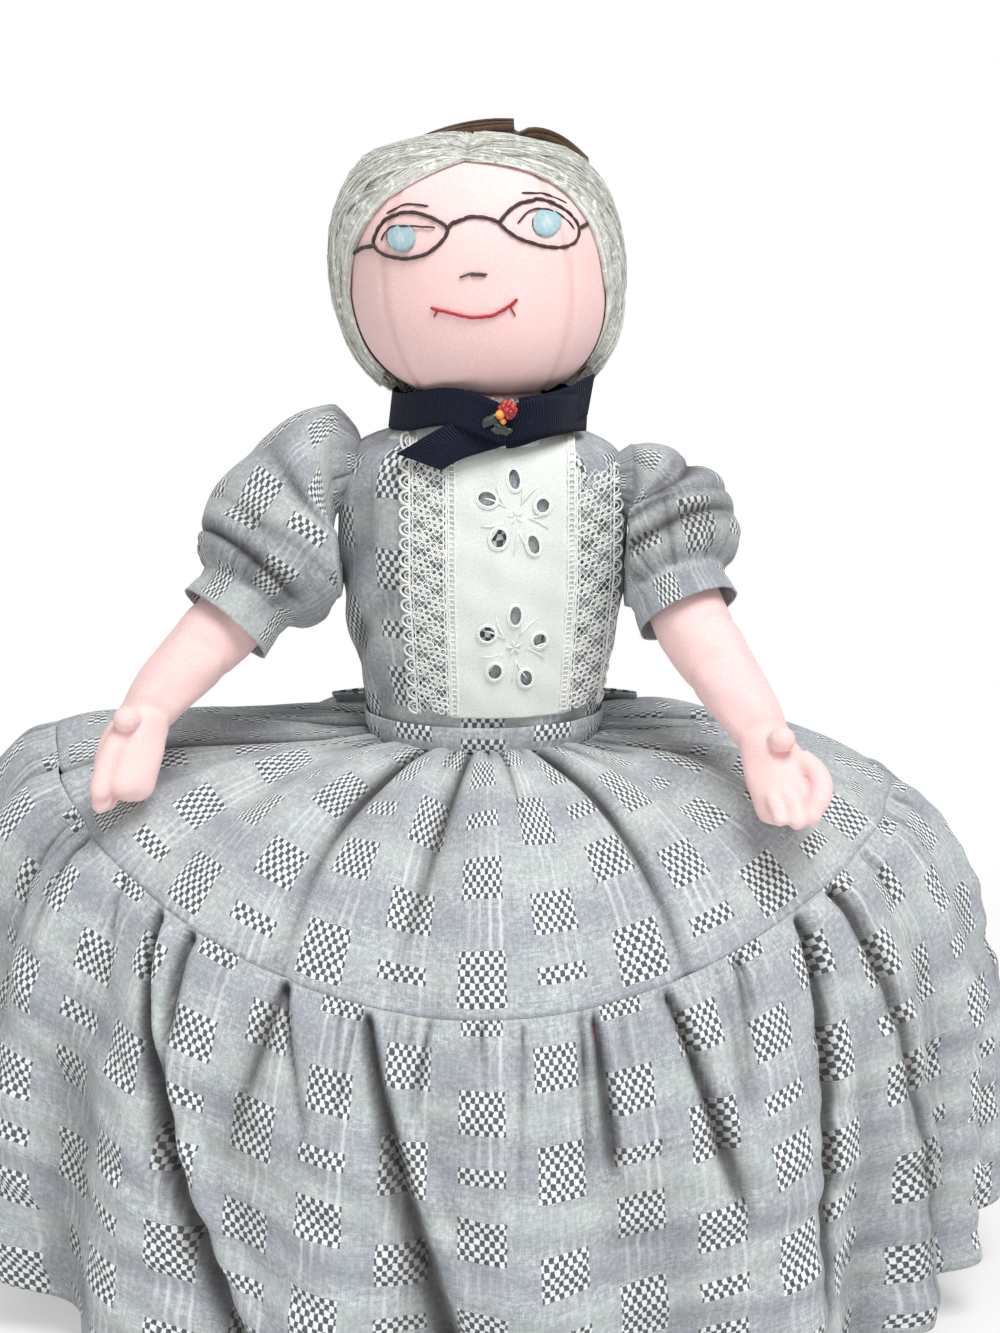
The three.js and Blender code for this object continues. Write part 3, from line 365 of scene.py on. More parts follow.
def dress_cotton(name):
    """Grey chambray with woven blocks: white and charcoal checks that change places row by row."""
    m = Shade(name)
    jitter = m.mul(m.math("SUBTRACT", m.noise(m.uv, 300.0, 2.0), 0.5), 0.0017)
    x, y = (m.add(v, jitter) for v in m.split(m.uv)[:2])
    warp = m.noise(m.scaled(m.uv, 1900, 90), 1.0, 4.0, 0.7)
    weft = m.noise(m.scaled(m.uv, 90, 1900), 1.0, 4.0, 0.7)
    thread = m.add(m.mul(warp, 0.5), m.mul(weft, 0.5))
    base = m.mix(m.ramp(thread, 0.36, 0.64), rgb(152, 156, 163), rgb(215, 221, 220))
    mottle = m.noise(m.uv, 640.0, 3.0, 0.75)
    base = m.mix(m.ramp(mottle, 0.47, 0.62, 0.0, 0.6), base, rgb(138, 142, 153))
    base = m.mix(m.ramp(mottle, 0.46, 0.34, 0.0, 0.5), base, rgb(232, 239, 237))
    # weft stripes: greener and lighter, bluer and darker
    drift = m.noise(m.scaled(m.uv, 14, 30), 1.0, 2.0)
    band = m.math("SINE", m.add(m.mul(y, TAU / (STRIPE * MM)), m.mul(drift, 5.0)))
    base = m.mix(m.ramp(band, 0.0, 1.0, 0.0, 0.35), base, rgb(206, 216, 208))
    base = m.mix(m.ramp(band, -0.1, -1.0, 0.0, 0.4), base, rgb(150, 154, 168))
    cloud = m.noise(m.uv, 70.0, 3.0)
    base = m.mix(m.ramp(cloud, 0.42, 0.68, 0.0, 0.35), base, rgb(134, 138, 146))
    # columns of blocks, every other one shifted by half the repeat
    column = m.math("DIVIDE", x, COLUMN * MM)
    across = m.math("FRACT", column)
    odd = m.math("ABSOLUTE", m.math("MODULO", m.math("FLOOR", column), 2.0))
    row = m.add(m.math("DIVIDE", y, BLOCK_ROW * MM), m.mul(odd, BLOCK_REPEAT / 2))
    turn = m.mul(m.math("FRACT", m.math("DIVIDE", row, BLOCK_REPEAT)), BLOCK_REPEAT)
    in_x = m.math("COMPARE", across, 0.5, BLOCK_HALF)
    in_y = None
    for centre, half in BLOCKS:
        here = m.math("COMPARE", turn, centre, half)
        in_y = here if in_y is None else m.math("MAXIMUM", in_y, here)
    block = m.mul(in_x, in_y)
    wide = 2 * BLOCK_HALF
    checks = m.math("MULTIPLY_ADD", across, BLOCK_CHECKS / wide, -1 / wide)
    period = m.math("SUBTRACT", m.math("FRACT", checks), 0.5)
    dot = m.mul(m.math("ABSOLUTE", period), 2.0)
    off_row = m.math("ABSOLUTE", m.math("SUBTRACT", m.math("FRACT", row), 0.5))
    fleck = m.noise(m.uv, 900.0, 2.0)
    white = m.mix(m.ramp(fleck, 0.3, 0.7), rgb(252, 254, 253), rgb(226, 232, 231))
    dark = m.mix(m.ramp(fleck, 0.3, 0.7), rgb(64, 68, 74), rgb(106, 110, 116))
    middle = m.ramp(dot, 0.56, 0.44)
    mid_thread = m.mix(m.ramp(off_row, 0.22, 0.29), dark, white)
    side_thread = m.mix(m.ramp(off_row, 0.21, 0.28), white, dark)
    check = m.mix(middle, side_thread, mid_thread)
    color = m.mix(block, base, check)
    slub = m.ramp(m.math("SINE", m.mul(x, TAU / (SLUB * MM))), 0.1, 1.0)
    slub = m.mul(m.mul(slub, in_x), m.math("SUBTRACT", 1.0, block))
    slub = m.mul(slub, m.ramp(m.noise(m.scaled(m.uv, 60, 25), 1.0), 0.4, 0.65, 0.0, 0.6))
    color = m.mix(slub, color, rgb(236, 240, 239))
    # painted shade: where tint is high the cloth is darkened towards dark brown, as shade in its creases and
    # fold valleys
    color = m.mix(m.mul(m.tint(), 0.85), color, rgb(50, 43, 39))
    height = m.add(m.weave(m.uv, THREAD), m.mul(m.mul(middle, block), -0.8))
    height = m.add(height, m.mul(thread, 2.0))
    normal = m.bump(height, 0.5, 0.00012)
    rough = m.ramp(thread, 0.3, 0.7, 0.95, 0.82)
    return m.done(color, rough, normal, Sheen_Weight=0.15, Sheen_Roughness=0.5)


def cotton(name, light, dark, pitch, crease_shade_color, local=True):
    """Plain woven cotton, mottled as the threads vary, with painted shade in its creases and hollows where
    tint says so.
    """
    m = Shade(name)
    at = m.local if local else m.uv
    fine = m.noise(at, 1400.0, 3.0, 0.7)
    cloud = m.noise(at, 60.0, 2.0)
    color = m.mix(m.ramp(fine, 0.3, 0.7), light, dark)
    color = m.mix(m.ramp(cloud, 0.35, 0.7, 0.0, 0.35), color, dark)
    # painted shade in creases and hollows
    color = m.mix(m.mul(m.tint(), 0.7), color, crease_shade_color)
    if local:
        x, y, z = m.split(at)
        side = m.node("CombineXYZ", {0: m.add(x, y), 1: z, 2: 0.0})
        weave = m.weave(side, pitch)
    else:
        weave = m.weave(at, pitch)
    normal = m.bump(m.add(weave, m.mul(fine, 2.0)), 0.35, 0.0001)
    return m.done(color, m.ramp(fine, 0.3, 0.7, 0.9, 0.78), normal, Sheen_Weight=0.2, Sheen_Roughness=0.5)


def calico(name):
    """Rose calico with small pale spots and dark specks between them."""
    m = Shade(name)
    spot = m.node("TexVoronoi", {"Vector": m.uv, "Scale": 95.0, "Randomness": 0.35})
    leaf = m.node("TexVoronoi", {"Vector": m.scaled(m.uv, 1.0, 0.8), "Scale": 190.0, "Randomness": 0.9})
    fine = m.noise(m.uv, 1300.0, 3.0, 0.7)
    color = m.mix(m.ramp(fine, 0.3, 0.7), rgb(176, 66, 72), rgb(140, 46, 54))
    color = m.mix(m.ramp(leaf, 0.16, 0.1, 0.0, 0.55), color, rgb(98, 30, 40))
    color = m.mix(m.ramp(spot, 0.2, 0.12, 0.0, 0.9), color, rgb(240, 220, 204))
    # painted shade: darker in the lining's folds, where tint is high
    color = m.mix(m.mul(m.tint(), 0.5), color, rgb(70, 18, 24))
    normal = m.bump(m.add(m.weave(m.uv, THREAD), fine), 0.4, 0.0001)
    return m.done(color, m.ramp(fine, 0.3, 0.7, 0.92, 0.8), normal, Sheen_Weight=0.15)


def yarn(name, light, dark, glint, sheen, rough):
    """Fine yarn: every strand its own shade, lighter flecks along it."""
    m = Shade(name)
    fibre = m.noise(m.scaled(m.local, 700, 700, 700), 1.0, 4.0, 0.7)
    color = m.mix(m.tint(), dark, light)
    color = m.mix(m.ramp(m.noise(m.local, 170.0, 3.0), 0.47, 0.66, 0.0, 0.5), color, dark)
    color = m.mix(m.ramp(fibre, 0.42, 0.62, 0.0, 0.55), color, light)
    # painted highlight: near-white glints flecked along the strands
    color = m.mix(m.ramp(m.noise(m.local, 420.0, 2.0), 0.58, 0.68, 0.0, 0.9), color, glint)
    normal = m.bump(fibre, 0.6, 0.0003)
    return m.done(color, m.ramp(fibre, 0.3, 0.7, rough, rough - 0.2), normal, Sheen_Weight=sheen)


def thread_floss(name, light, dark):
    """Stranded embroidery thread, with the twist as fine slanting lines."""
    m = Shade(name)
    x, _, z = m.split(m.local)
    slant = m.add(x, m.mul(z, 1.3))
    ply = m.ramp(m.math("SINE", m.mul(slant, TAU / 0.0007)), -1, 1)
    speck = m.noise(m.local, 900.0, 2.0)
    color = m.mix(m.mul(ply, m.ramp(speck, 0.3, 0.7, 0.3, 1.0)), dark, light)
    # where tint is high the thread is whitened: a painted highlight in the middle of each iris, and a
    # slightly paler nose
    color = m.mix(m.mul(m.tint(), 0.6), color, rgb(244, 250, 250))
    rough = m.ramp(speck, 0.3, 0.7, 0.55, 0.43)
    return m.done(color, rough, m.bump(ply, 0.6, 0.0002), Sheen_Weight=0.1)


def grosgrain(name):
    """Navy ribbon with fine ribs across it, a little dusty."""
    m = Shade(name)
    x = m.split(m.uv)[0]
    rib = m.ramp(m.math("SINE", m.mul(x, TAU / 0.0009)), -1, 1)
    dust = m.noise(m.uv, 700.0, 3.0)
    color = m.mix(m.mul(rib, m.ramp(dust, 0.3, 0.7, 0.5, 1.0)), rgb(7, 11, 24), rgb(24, 32, 56))
    color = m.mix(m.ramp(dust, 0.6, 0.75, 0.0, 0.25), color, rgb(66, 74, 92))
    normal = m.bump(rib, 0.8, 0.00035)
    return m.done(color, m.ramp(rib, 0, 1, 0.8, 0.6), normal, Sheen_Weight=0.03, Specular_IOR_Level=0.15)


def felt(name):
    """Brown felt, fuzzy and unevenly pressed."""
    m = Shade(name)
    fuzz = m.noise(m.local, 1500.0, 5.0, 0.75)
    press = m.noise(m.local, 90.0, 2.0)
    color = m.mix(m.ramp(fuzz, 0.3, 0.7), rgb(42, 27, 17), rgb(92, 62, 38))
    color = m.mix(m.ramp(press, 0.4, 0.7, 0.0, 0.4), color, rgb(120, 84, 52))
    return m.done(color, m.ramp(fuzz, 0.3, 0.7, 0.98, 0.85), m.bump(fuzz, 0.7, 0.0004), Sheen_Weight=0.4)


def glass(name, light, dark):
    """Polished bead with a cloudy body."""
    m = Shade(name)
    cloud = m.noise(m.local, 500.0, 3.0)
    color = m.mix(m.ramp(cloud, 0.35, 0.65), dark, light)
    normal = m.bump(cloud, 0.15, 0.0003)
    return m.done(color, m.ramp(cloud, 0.3, 0.7, 0.22, 0.1), normal, Coat_Weight=0.6, Coat_Roughness=0.05)


# In a cotton row the last colour is the painted shade of its creases and hollows; in a yarn row the third is
# its painted glint.
MATERIAL_TABLE = [
    ("skin_cotton", cotton, rgb(255, 223, 221), rgb(246, 203, 199), 0.9 * THREAD, rgb(196, 132, 124)),
    ("dress_cotton", dress_cotton),
    ("eyelet_cotton", cotton, rgb(238, 241, 236), rgb(212, 218, 212), THREAD, rgb(190, 195, 190), False),
    ("lace_cotton", cotton, rgb(250, 251, 248), rgb(232, 235, 230), 0.8 * THREAD, rgb(205, 208, 202)),
    ("grosgrain", grosgrain),
    ("grey_yarn", yarn, rgb(228, 231, 224), rgb(158, 157, 143), rgb(255, 255, 253), 0.6, 0.8),
    ("brown_felt", felt),
    ("chestnut_yarn", yarn, rgb(128, 78, 46), rgb(74, 40, 22), rgb(168, 110, 68), 0.3, 0.8),
    ("dark_thread", thread_floss, rgb(66, 38, 36), rgb(34, 17, 17)),
    ("red_thread", thread_floss, rgb(218, 30, 54), rgb(168, 14, 36)),
    ("blue_thread", thread_floss, rgb(202, 226, 228), rgb(146, 187, 197)),
    ("red_glass", glass, rgb(206, 28, 22), rgb(130, 8, 8)),
    ("amber_glass", glass, rgb(255, 176, 54), rgb(220, 110, 20)),
    ("green_glass", glass, rgb(16, 48, 28), rgb(6, 22, 12)),
    ("calico", calico),
]
MATERIALS = {name: make(name, *values) for name, make, *values in MATERIAL_TABLE}

# Stuffed forms whose level sections are ellipses


class Form:
    """A stuffed form; normal is that of the points asked for last."""

    def __init__(self, z, half_width, half_depth):
        self.z, self.w, self.d = z, half_width, half_depth
        self.dw, self.dd = np.gradient(half_width, z), np.gradient(half_depth, z)

    def at(self, z):
        return [np.interp(z, self.z, v) for v in (self.w, self.d, self.dw, self.dd)]

    def point(self, a, z, lift=0.0):
        w, d, dw, dd = self.at(z)
        x, y = w * np.cos(a), d * np.sin(a)
        return self.lifted(x, y, z, w, d, dw, dd, lift)

    def front(self, x, z, lift=0.0):
        w, d, dw, dd = self.at(z)
        y = -d * np.sqrt(np.clip(1 - (x / w) ** 2, 0.0025, 1))
        return self.lifted(x, y, z, w, d, dw, dd, lift)

    def lifted(self, x, y, z, w, d, dw, dd, lift):
        n = np.stack([x / w**2, y / d**2, -(x**2) * dw / w**3 - y**2 * dd / d**3], -1)
        self.normal = unit(n)
        return stacked(x, y, z) + self.normal * np.asarray(lift)[..., None]

    def reach(self, direction, centre):
        """How far from centre the form's surface is in each direction."""
        low, high = np.zeros(direction.shape[:-1]), np.full(direction.shape[:-1], 120.0)
        for _ in range(26):
            r = (low + high) / 2
            p = direction * r[..., None] + centre
            w, d = self.at(p[..., 2])[:2]
            inside = (p[..., 0] / w) ** 2 + (p[..., 1] / d) ** 2 < 1
            inside &= (p[..., 2] > self.z[0]) & (p[..., 2] < self.z[-1])
            low, high = np.where(inside, r, low), np.where(inside, high, r)
        return low


def torso_form():
    return Form(*spline(TORSO_STOPS, 200).T)


def head_form():
    """A boxy egg that is cut flat where it sits on the neck."""
    p = 0.8  # 1 is an ellipse, less is boxier
    lowest = -math.acos((HEAD_SEAT / HEAD_HALF_WIDTH) ** (1 / p))
    angle = lowest + np.linspace(0, 1, 400) * (math.pi / 2 - 0.004 - lowest)
    below = abs(math.sin(lowest)) ** p
    z = HEAD_HEIGHT * (below + np.sign(np.sin(angle)) * np.abs(np.sin(angle)) ** p) / (1 + below)
    out = np.cos(angle) ** p
    return Form(z, HEAD_HALF_WIDTH * out, HEAD_HALF_DEPTH * out)


TORSO, HEAD = torso_form(), head_form()


def gran(v):
    """The grandmother half's space, which starts at its waist, to the doll's."""
    return v + np.array([0, 0, WAIST])


def girl(v):
    """The girl half is turned over about the Y axis."""
    return v * np.array([-1, 1, -1]) + np.array([0, 0, GIRL_WAIST])


def gran_head(v):
    """Head space to the doll's; the crown leans a little to the right hand."""
    return v + stacked(-HEAD_LEAN * v[:, 2], 0, WAIST + HEAD_FOOT)


def girl_head(v):
    return girl(v + np.array([0, 0, GIRL_HEAD_FOOT]))


def ripple(a, s, seed, low, high, count, wander=0.02):
    """Smooth unevenness that closes round the form, about -1 to 1."""
    g = np.random.default_rng(seed)
    total = 0
    for _ in range(count):
        k = g.integers(low, high + 1)
        total = total + g.normal() * np.cos(k * a + g.uniform(0, TAU) + g.normal(0, wander) * k * s)
    return total / math.sqrt(count)


def creases(a, s, metric, start, way, count, depth, reach, width, seed, drift=0.0, stray=0.8, rise=3.0):
    """Creases that run into the cloth from a gathered seam.

    a is one row of angles, s a net of distances, metric the mm per radian there. way is 1 where the creases
    run on from start, -1 where they run back."""
    g = np.random.default_rng(seed)
    total = np.zeros_like(s)
    for k in range(count):
        centre = (k + stray * (g.random() - 0.5)) * TAU / count
        length = reach * (0.35 + 1.4 * g.random() ** 2)
        deep = depth * (0.4 + 0.9 * g.random()) * min(1.3, math.sqrt(length / reach))
        wide = width * (0.7 + 0.6 * g.random())
        lean = g.normal(0, drift) if drift else 0.0
        gap = past(a, centre)
        near = np.abs(gap) < 0.1 + abs(lean) * length + 9 * wide / max(metric.min(), 1)
        t = (s[near] - start) * way / length
        off = (gap[near][:, None] - lean * t * length) * metric[near]
        here = wide * (0.5 + 1.5 * np.clip(t, 0, 1))
        valley = np.exp(-((np.abs(off) / here) ** 0.9))
        fade = np.where((t >= 0) & (t < 1), np.clip(1 - t, 0, 1) ** 0.9 * smooth(t * length / rise), 0)
        total[near] -= deep * fade * valley
    return total


# The skirt: measured along the cloth from the waist seam

SKIRT_TOP = (36.88, 26.88)  # half width and half depth at the waist
SKIRT_HEM = (178.0, 126.0)
HEM_RISE = 30.0  # of the hem at the sides


def skirt_lines(a):
    """The skirt's plain line from waist to hem at each angle, fuller at the sides."""
    power = (2 / (2.1 + 1.5 * np.cos(a) ** 2))[:, None]
    foot = (HEM_RISE * (np.maximum(0, np.abs(np.cos(a)) - 0.4) / 0.6) ** 2)[:, None]
    turn = np.linspace(0, math.pi / 2, 160)[None]
    out = np.sin(turn) ** power
    drop = np.maximum(0, np.cos(turn)) ** power
    half_width, half_depth = (top + (hem - top) * out for top, hem in zip(SKIRT_TOP, SKIRT_HEM))
    line = rings(a, half_width, half_depth, foot + (WAIST - foot) * drop)
    step = np.linalg.norm(np.diff(line, axis=1), axis=2)
    return line, np.concatenate([np.zeros((len(a), 1)), np.cumsum(step, 1)], 1)


def skirt_net(columns, shares):
    """Angles, distances along the cloth, whole lengths, points, outward normals and mm per radian.

    shares runs from 0 to 1 over the upper tier and on to 2 over the lower one."""
    a = ring(columns)
    line, along = skirt_lines(a)
    length = along[:, -1:]
    s = np.where(shares[None] <= 1, shares[None] * TIER, TIER + (shares[None] - 1) * (length - TIER))
    points = np.stack([follow(s[i], along[i], line[i]) for i in range(columns)])
    across = (np.roll(points, -1, 0) - np.roll(points, 1, 0)) / (2 * TAU / columns)
    down = np.gradient(points, axis=1)
    normal = unit(np.cross(down, across))
    return a, s, length, points, normal, np.linalg.norm(across, axis=2)


def fold_wave(a, s):
    """The part's main folds round the skirt."""
    stray = 0.9 * (np.sin(3 * a + 1) + 0.7 * np.sin(5 * a + 2.2))
    slant = 0.012 * np.maximum(0, s - TIER) * np.sin(2 * a + 1)[:, None]
    return (1 + 0.3 * np.sin(7 * a + 0.4))[:, None] * np.cos((17 * a + stray)[:, None] + slant)


BUNCH_OUT = 20.0  # how far the bunched cloth stands out
BUNCH_ANGLE, BUNCH_SPAN = math.radians(166), math.radians(31)
BUNCH_DOWN, BUNCH_TALL = 120.0, 45.0  # its middle along the cloth, and over what length it fades


def bunch(a, s):
    """The cloth bunched up behind the right hand."""
    return BUNCH_OUT * bell(past(a, BUNCH_ANGLE), BUNCH_SPAN)[:, None] * bell(s - BUNCH_DOWN, BUNCH_TALL)


LONG_FOLDS = [  # angle at the tier seam, lean per mm, length, depth, half width
    (-1.82, 0.0018, 150, 9.0, 3.0),
    (-1.33, 0.0002, 60, 7.0, 1.8),
    (-1.17, 0.0012, 90, 7.5, 2.2),
    (-2.36, 0.0026, 150, 10.0, 3.2),
    (-0.8, -0.0008, 150, 8.0, 2.8),
]


def long_folds(a, s, metric):
    """The few deep folds that fall from the tier seam, each with a fuller lip beside it."""
    total = np.zeros_like(s)
    for angle, lean, length, deep, wide in LONG_FOLDS:
        t = (s - TIER) / length
        gap = past(a, angle)[:, None]
        off = (gap - lean * (s - TIER)) * metric / (wide * (0.5 + np.clip(t, 0, 1)))
        fade = np.where((t >= 0) & (t < 1), smooth(2.5 * (1 - t)) * smooth((s - TIER) / 6), 0)
        fade = fade * (np.abs(gap) < 1)
        total += deep * fade * (0.3 * bell(off - 2.6, 1.6) - np.exp(-(np.abs(off) ** 1.3)))
    return total


UPPER_CREASES = [  # count, depth, reach, width, seed, drift, stray
    (64, 2.6, 24, 0.8, 21, 0.0003, 0.8),
    (32, 4.4, 52, 1.0, 22, 0.0006, 1.0),
    (16, 6.4, 92, 1.5, 24, 0.0008, 1.0),
]
LOWER_CREASES = [
    (96, 2.8, 16, 0.9, 31, 0.0006, 0.8),
    (48, 4.8, 46, 1.2, 32, 0.0007, 0.9),
    (19, 7.0, 120, 2.0, 33, 0.0009, 0.9),
]


def skirt_swell(a, s, length, metric, upper):
    """How far the gathered cloth stands off its plain line, and how deep in a fold it is."""
    if upper:
        share = s / TIER
        arch = np.sin(math.pi * share)
        depth = 1.6 * share**2 + 2.2 * arch**2
        swell = depth * fold_wave(a, s) + 1.2 * arch * ripple(a[:, None], s, 5, 5, 16, 10, 0.006)
        swell += 3.0 * smooth(s / 5) * np.clip(1 - s / 55, 0, 1)
        fold = sum(creases(a, s, metric, 0, 1, *row) for row in UPPER_CREASES)
        fold += creases(a, s, metric, TIER, -1, 70, 0.8, 10, 1.1, 23)
        return swell + fold + bunch(a, s), fold
    share = np.clip((s - TIER) / (length - TIER), 0, 1)
    depth = 1.6 + 5.9 * share**0.6
    arch = np.sin(math.pi * share * 0.75)
    swell = depth * fold_wave(a, s) + 1.6 * arch * ripple(a[:, None], s - TIER, 8, 6, 20, 12, 0.012)
    swell += 2.6 * smooth((s - TIER) / 10) * np.clip(1 - (s - TIER) / 90, 0, 1)
    fold = sum(creases(a, s, metric, TIER, 1, *row) for row in LOWER_CREASES)
    fold += long_folds(a, s, metric)
    return swell + fold + bunch(a, s), fold


def skirt_layer(columns, shares, inset=0.0):
    """One layer of the skirt; an inner one, set in by over 1 mm, keeps behind the creases near it."""
    a, s, length, points, normal, metric = skirt_net(columns, shares)
    swell, fold = np.empty_like(s), np.empty_like(s)
    for tier in (True, False):
        rows = (shares <= 1) == tier
        if rows.any():
            swell[:, rows], fold[:, rows] = skirt_swell(a, s[:, rows], length, metric[:, rows], tier)
    if inset > 1:
        deepest = np.min([np.roll(fold, k, 0) for k in range(-3, 4)], 0)
        deepest[:, 1:-1] = np.minimum(deepest[:, 1:-1], np.minimum(deepest[:, 2:], deepest[:, :-2]))
        swell = swell + deepest - fold
    moved = points + normal * (swell - inset)[..., None]
    moved[..., 2] = np.maximum(moved[..., 2], 0.6 + inset * 0.1)
    return a, s, moved, fold


def cloth_uv(s, width, repeat_v=0.0):
    """Flat cloth coordinates of a net that closes round, in mm."""
    v = np.vstack([s, s[:1]]) + repeat_v
    return stacked(np.linspace(0, width, len(v))[:, None], v)


def skirt():
    def layer(name, points, s, width, start, tint, *said):
        soup = Soup().grid(points, True, True, cloth_uv(s, width, start), tint)
        return sew(soup, name, None, CLOTH, *said)

    rows = np.concatenate([np.linspace(0, 0.3, 26)[:-1], np.linspace(0.3, 1, 44)])
    a, s, points, fold = skirt_layer(840, rows)
    # painted shade: darker in the creases and in the valleys of the main folds
    hollow = 0.16 * np.clip(-fold_wave(a, s), 0, 1) * smooth(s / 40)
    tint = np.clip(-fold / 2.8 - 0.14 + hollow, 0, 1)
    upper = layer("skirt_upper", points, s, 34 * COLUMN, 73.4, tint, "doll_body", "dress_cotton",
                  ["skirt_upper_tier"], (34 * COLUMN, TIER), "gathered", ["waistband"])

    rows = 1 + np.concatenate([np.linspace(0.0001, 0.25, 26)[:-1], np.linspace(0.25, 1, 62)])
    a, s, points, fold = skirt_layer(960, rows, 0.1)
    # painted shade: darker in the creases, in the valleys of the main folds, and towards the hem
    hollow = 0.36 * np.clip(-fold_wave(a, s), 0, 1) * smooth((s - TIER) / 60)
    hollow = hollow + 0.1 * smooth((s - TIER) / 120)
    tint = np.clip(-fold / 3.6 - 0.12 + hollow, 0, 0.9)
    lower = layer("skirt_lower", points, s, 42 * COLUMN, 65, tint, "doll_body", "dress_cotton",
                  ["skirt_lower_tier"], (42 * COLUMN, 150), "gathered", ["skirt_upper"])

    rows = np.concatenate([np.linspace(0, 1, 34), 1 + np.linspace(0.02, 0.985, 40)])
    a, s, points, fold = skirt_layer(480, rows, 2.4)
    # painted shade: the lining darker in its creases
    inner = layer("skirt_inner", points, s, 900, 0, np.clip(-fold / 8, 0, 1), "doll_body", "calico",
                  ["skirt_lining"], (900, 250), "gathered", ["girl_waistband_cloth"])

    a, s, points, fold = skirt_layer(480, 1 + np.array([0.93, 0.95, 0.97, 0.99]), 4.2)
    hem = layer("hem_band", points, s, 900, 0, 0.0, "skirt_hem", "calico",
                ["skirt_hem"], (960, 10), "stretched", ["skirt_inner"])

    # each skirt piece gets its own copy of its mesh
    for piece, anchor in ((upper, WAIST * MM), (lower, WAIST * MM), (inner, WAIST * MM), (hem, 0)):
        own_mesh(piece)


skirt()

# Dresses: bodice, waistband, and the stuffed torso and neck under them


def torso(name, turn, nodes, neck_height):
    a = ring(64)
    points = TORSO.point(a[:, None], np.linspace(0.6, TORSO_TOP - 0.5, 40)[None])
    form = Soup().grid(points, True, caps=True).make(name, turn)
    place(form, "doll_body", "skin_cotton", nodes[:1], fill=0.9)
    r = NECK_RADIUS + 0.6 * np.sin(np.linspace(0, math.pi, 12))[None]
    points = rings(a, r, r, np.linspace(TORSO_TOP + 0.4, TORSO_TOP + neck_height, 12)[None])
    neck = Soup().grid(points, True, caps=True).make(name + "_neck", turn)
    place(neck, "doll_body", "skin_cotton", nodes[1:], fill=0.9)


GIRTH = 10 * COLUMN  # of a bodice


def bodice(name, turn, slot, node, foot, seed):
    rows = [np.linspace(foot, 30, 26)[:-1], np.linspace(30, 102, 50), np.linspace(102.6, TORSO_TOP, 4)]
    rows = np.concatenate(rows)
    a = ring(300)
    s = np.broadcast_to(rows[None], (300, len(rows))).copy()
    metric = np.full(s.shape, 38.0)
    swell = 0.5 * ripple(a[:, None], s, seed, 3, 14, 10, 0.03)
    swell += creases(a, s, metric, foot, 1, 52, 0.7, 14, 0.9, seed + 1, 0.001)
    swell += creases(a, s, metric, 96, -1, 26, 0.6, 22, 1.2, seed + 2, 0.002)
    swell = swell * (1 - 0.8 * bell(past(a, -math.pi / 2), 0.9)[:, None])  # calm under the bib
    points = TORSO.point(a[:, None], s, 1.5 + swell)
    points[..., 0] = np.clip(points[..., 0], -PIVOT_X + 0.3, PIVOT_X - 0.3)
    # painted shade: darker in the creases, and the whole bodice 0.14 darker than the same cloth elsewhere
    tint = np.clip(-swell, 0, 1) * 0.7 + 0.14
    soup = Soup().grid(points, True, False, cloth_uv(s, GIRTH, 20), tint)
    sew(soup, name, turn, CLOTH, "doll_body", slot, [node], (GIRTH, 118), "stretched", area=0.0265)


def waistband(name, turn, slot, node, foot, height, seed):
    rows = np.array([0, 0.04, 0.12, 0.3, 0.5, 0.7, 0.88, 0.96, 1.0])
    a = ring(240)
    lift = 2.9 + 0.7 * np.sin(math.pi * rows) ** 0.5 - 0.4 * bell(rows - 0.1, 0.04)
    s = np.broadcast_to((foot + rows * height)[None], (240, len(rows)))
    points = TORSO.point(a[:, None], s, lift[None] + 0.25 * ripple(a[:, None], s, seed, 6, 24, 8))
    soup = Soup().grid(points, True, False, cloth_uv(s, GIRTH, 31))
    rests = [node[:4] + "_bodice_cloth"]
    sew(soup, name, turn, 0.7, "doll_body", slot, [node], (GIRTH, 11), "stretched", rests)


torso("gran_torso_form", gran, ["gran_torso", "gran_neck"], 14)
torso("girl_torso_form", girl, ["girl_torso", "girl_neck"], 6)
bodice("gran_bodice_cloth", gran, "dress_cotton", "gran_bodice", 0.6, 51)
bodice("girl_bodice_cloth", girl, "calico", "girl_bodice", 5.2, 61)
waistband("waistband", gran, "dress_cotton", "gran_waistband", 0.6, 9, 71)
waistband("girl_waistband_cloth", girl, "calico", "girl_waistband", 5.4, 9, 72)

# Bib: an eyelet panel between two strips of lace

BIB_FOOT, BIB_TOP = 13, 103  # above the waist
BIB_RIGHT, BIB_LEFT = -11.0, 29.0  # the panel's edges
BIB_TAPER = 0.87
BIB_TURN = 0.9  # share of the half width past which it follows the side
MOTIFS = ((10.2, 80.7), (10.2, 37.8))  # middles of the two flowers
PETALS = [  # eyelets: x, z, half width, half height, turn in degrees
    (1.4, 86.3, 2.8, 2.2, -15),
    (9.8, 92.1, 1.7, 3.0, 10),
    (18.6, 83.8, 2.0, 2.2, 0),
    (5.0, 73.8, 2.4, 3.0, -10),
    (15.8, 71.5, 1.7, 3.1, 15),
    (1.4, 42.6, 2.5, 2.5, 10),
    (10.4, 48.5, 1.8, 3.2, 0),
    (18.4, 39.8, 2.1, 2.3, 0),
    (4.0, 29.6, 2.2, 2.6, -10),
    (14.4, 27.0, 2.0, 2.8, 12),
]


def on_bib(x, z, lift):
    x, z = np.asarray(x, float), np.asarray(z, float)
    squeeze = BIB_TAPER + (1 - BIB_TAPER) * np.minimum(1, z / 58)
    w, d = TORSO.at(z)[:2]
    u = x * squeeze / w
    over = np.maximum(0, np.abs(u) - BIB_TURN) * w / d
    angle = np.sign(u) * (np.arcsin(np.minimum(np.abs(u), BIB_TURN)) + over)
    return TORSO.point(angle - math.pi / 2, z, lift)


def petal(k, grow, n):
    x, z, half_x, half_z, turn = PETALS[k]
    a = ring(n)
    u, v = turned((half_x + grow) * np.cos(a), (half_z + grow) * np.sin(a), turn)
    return x + u, z + v


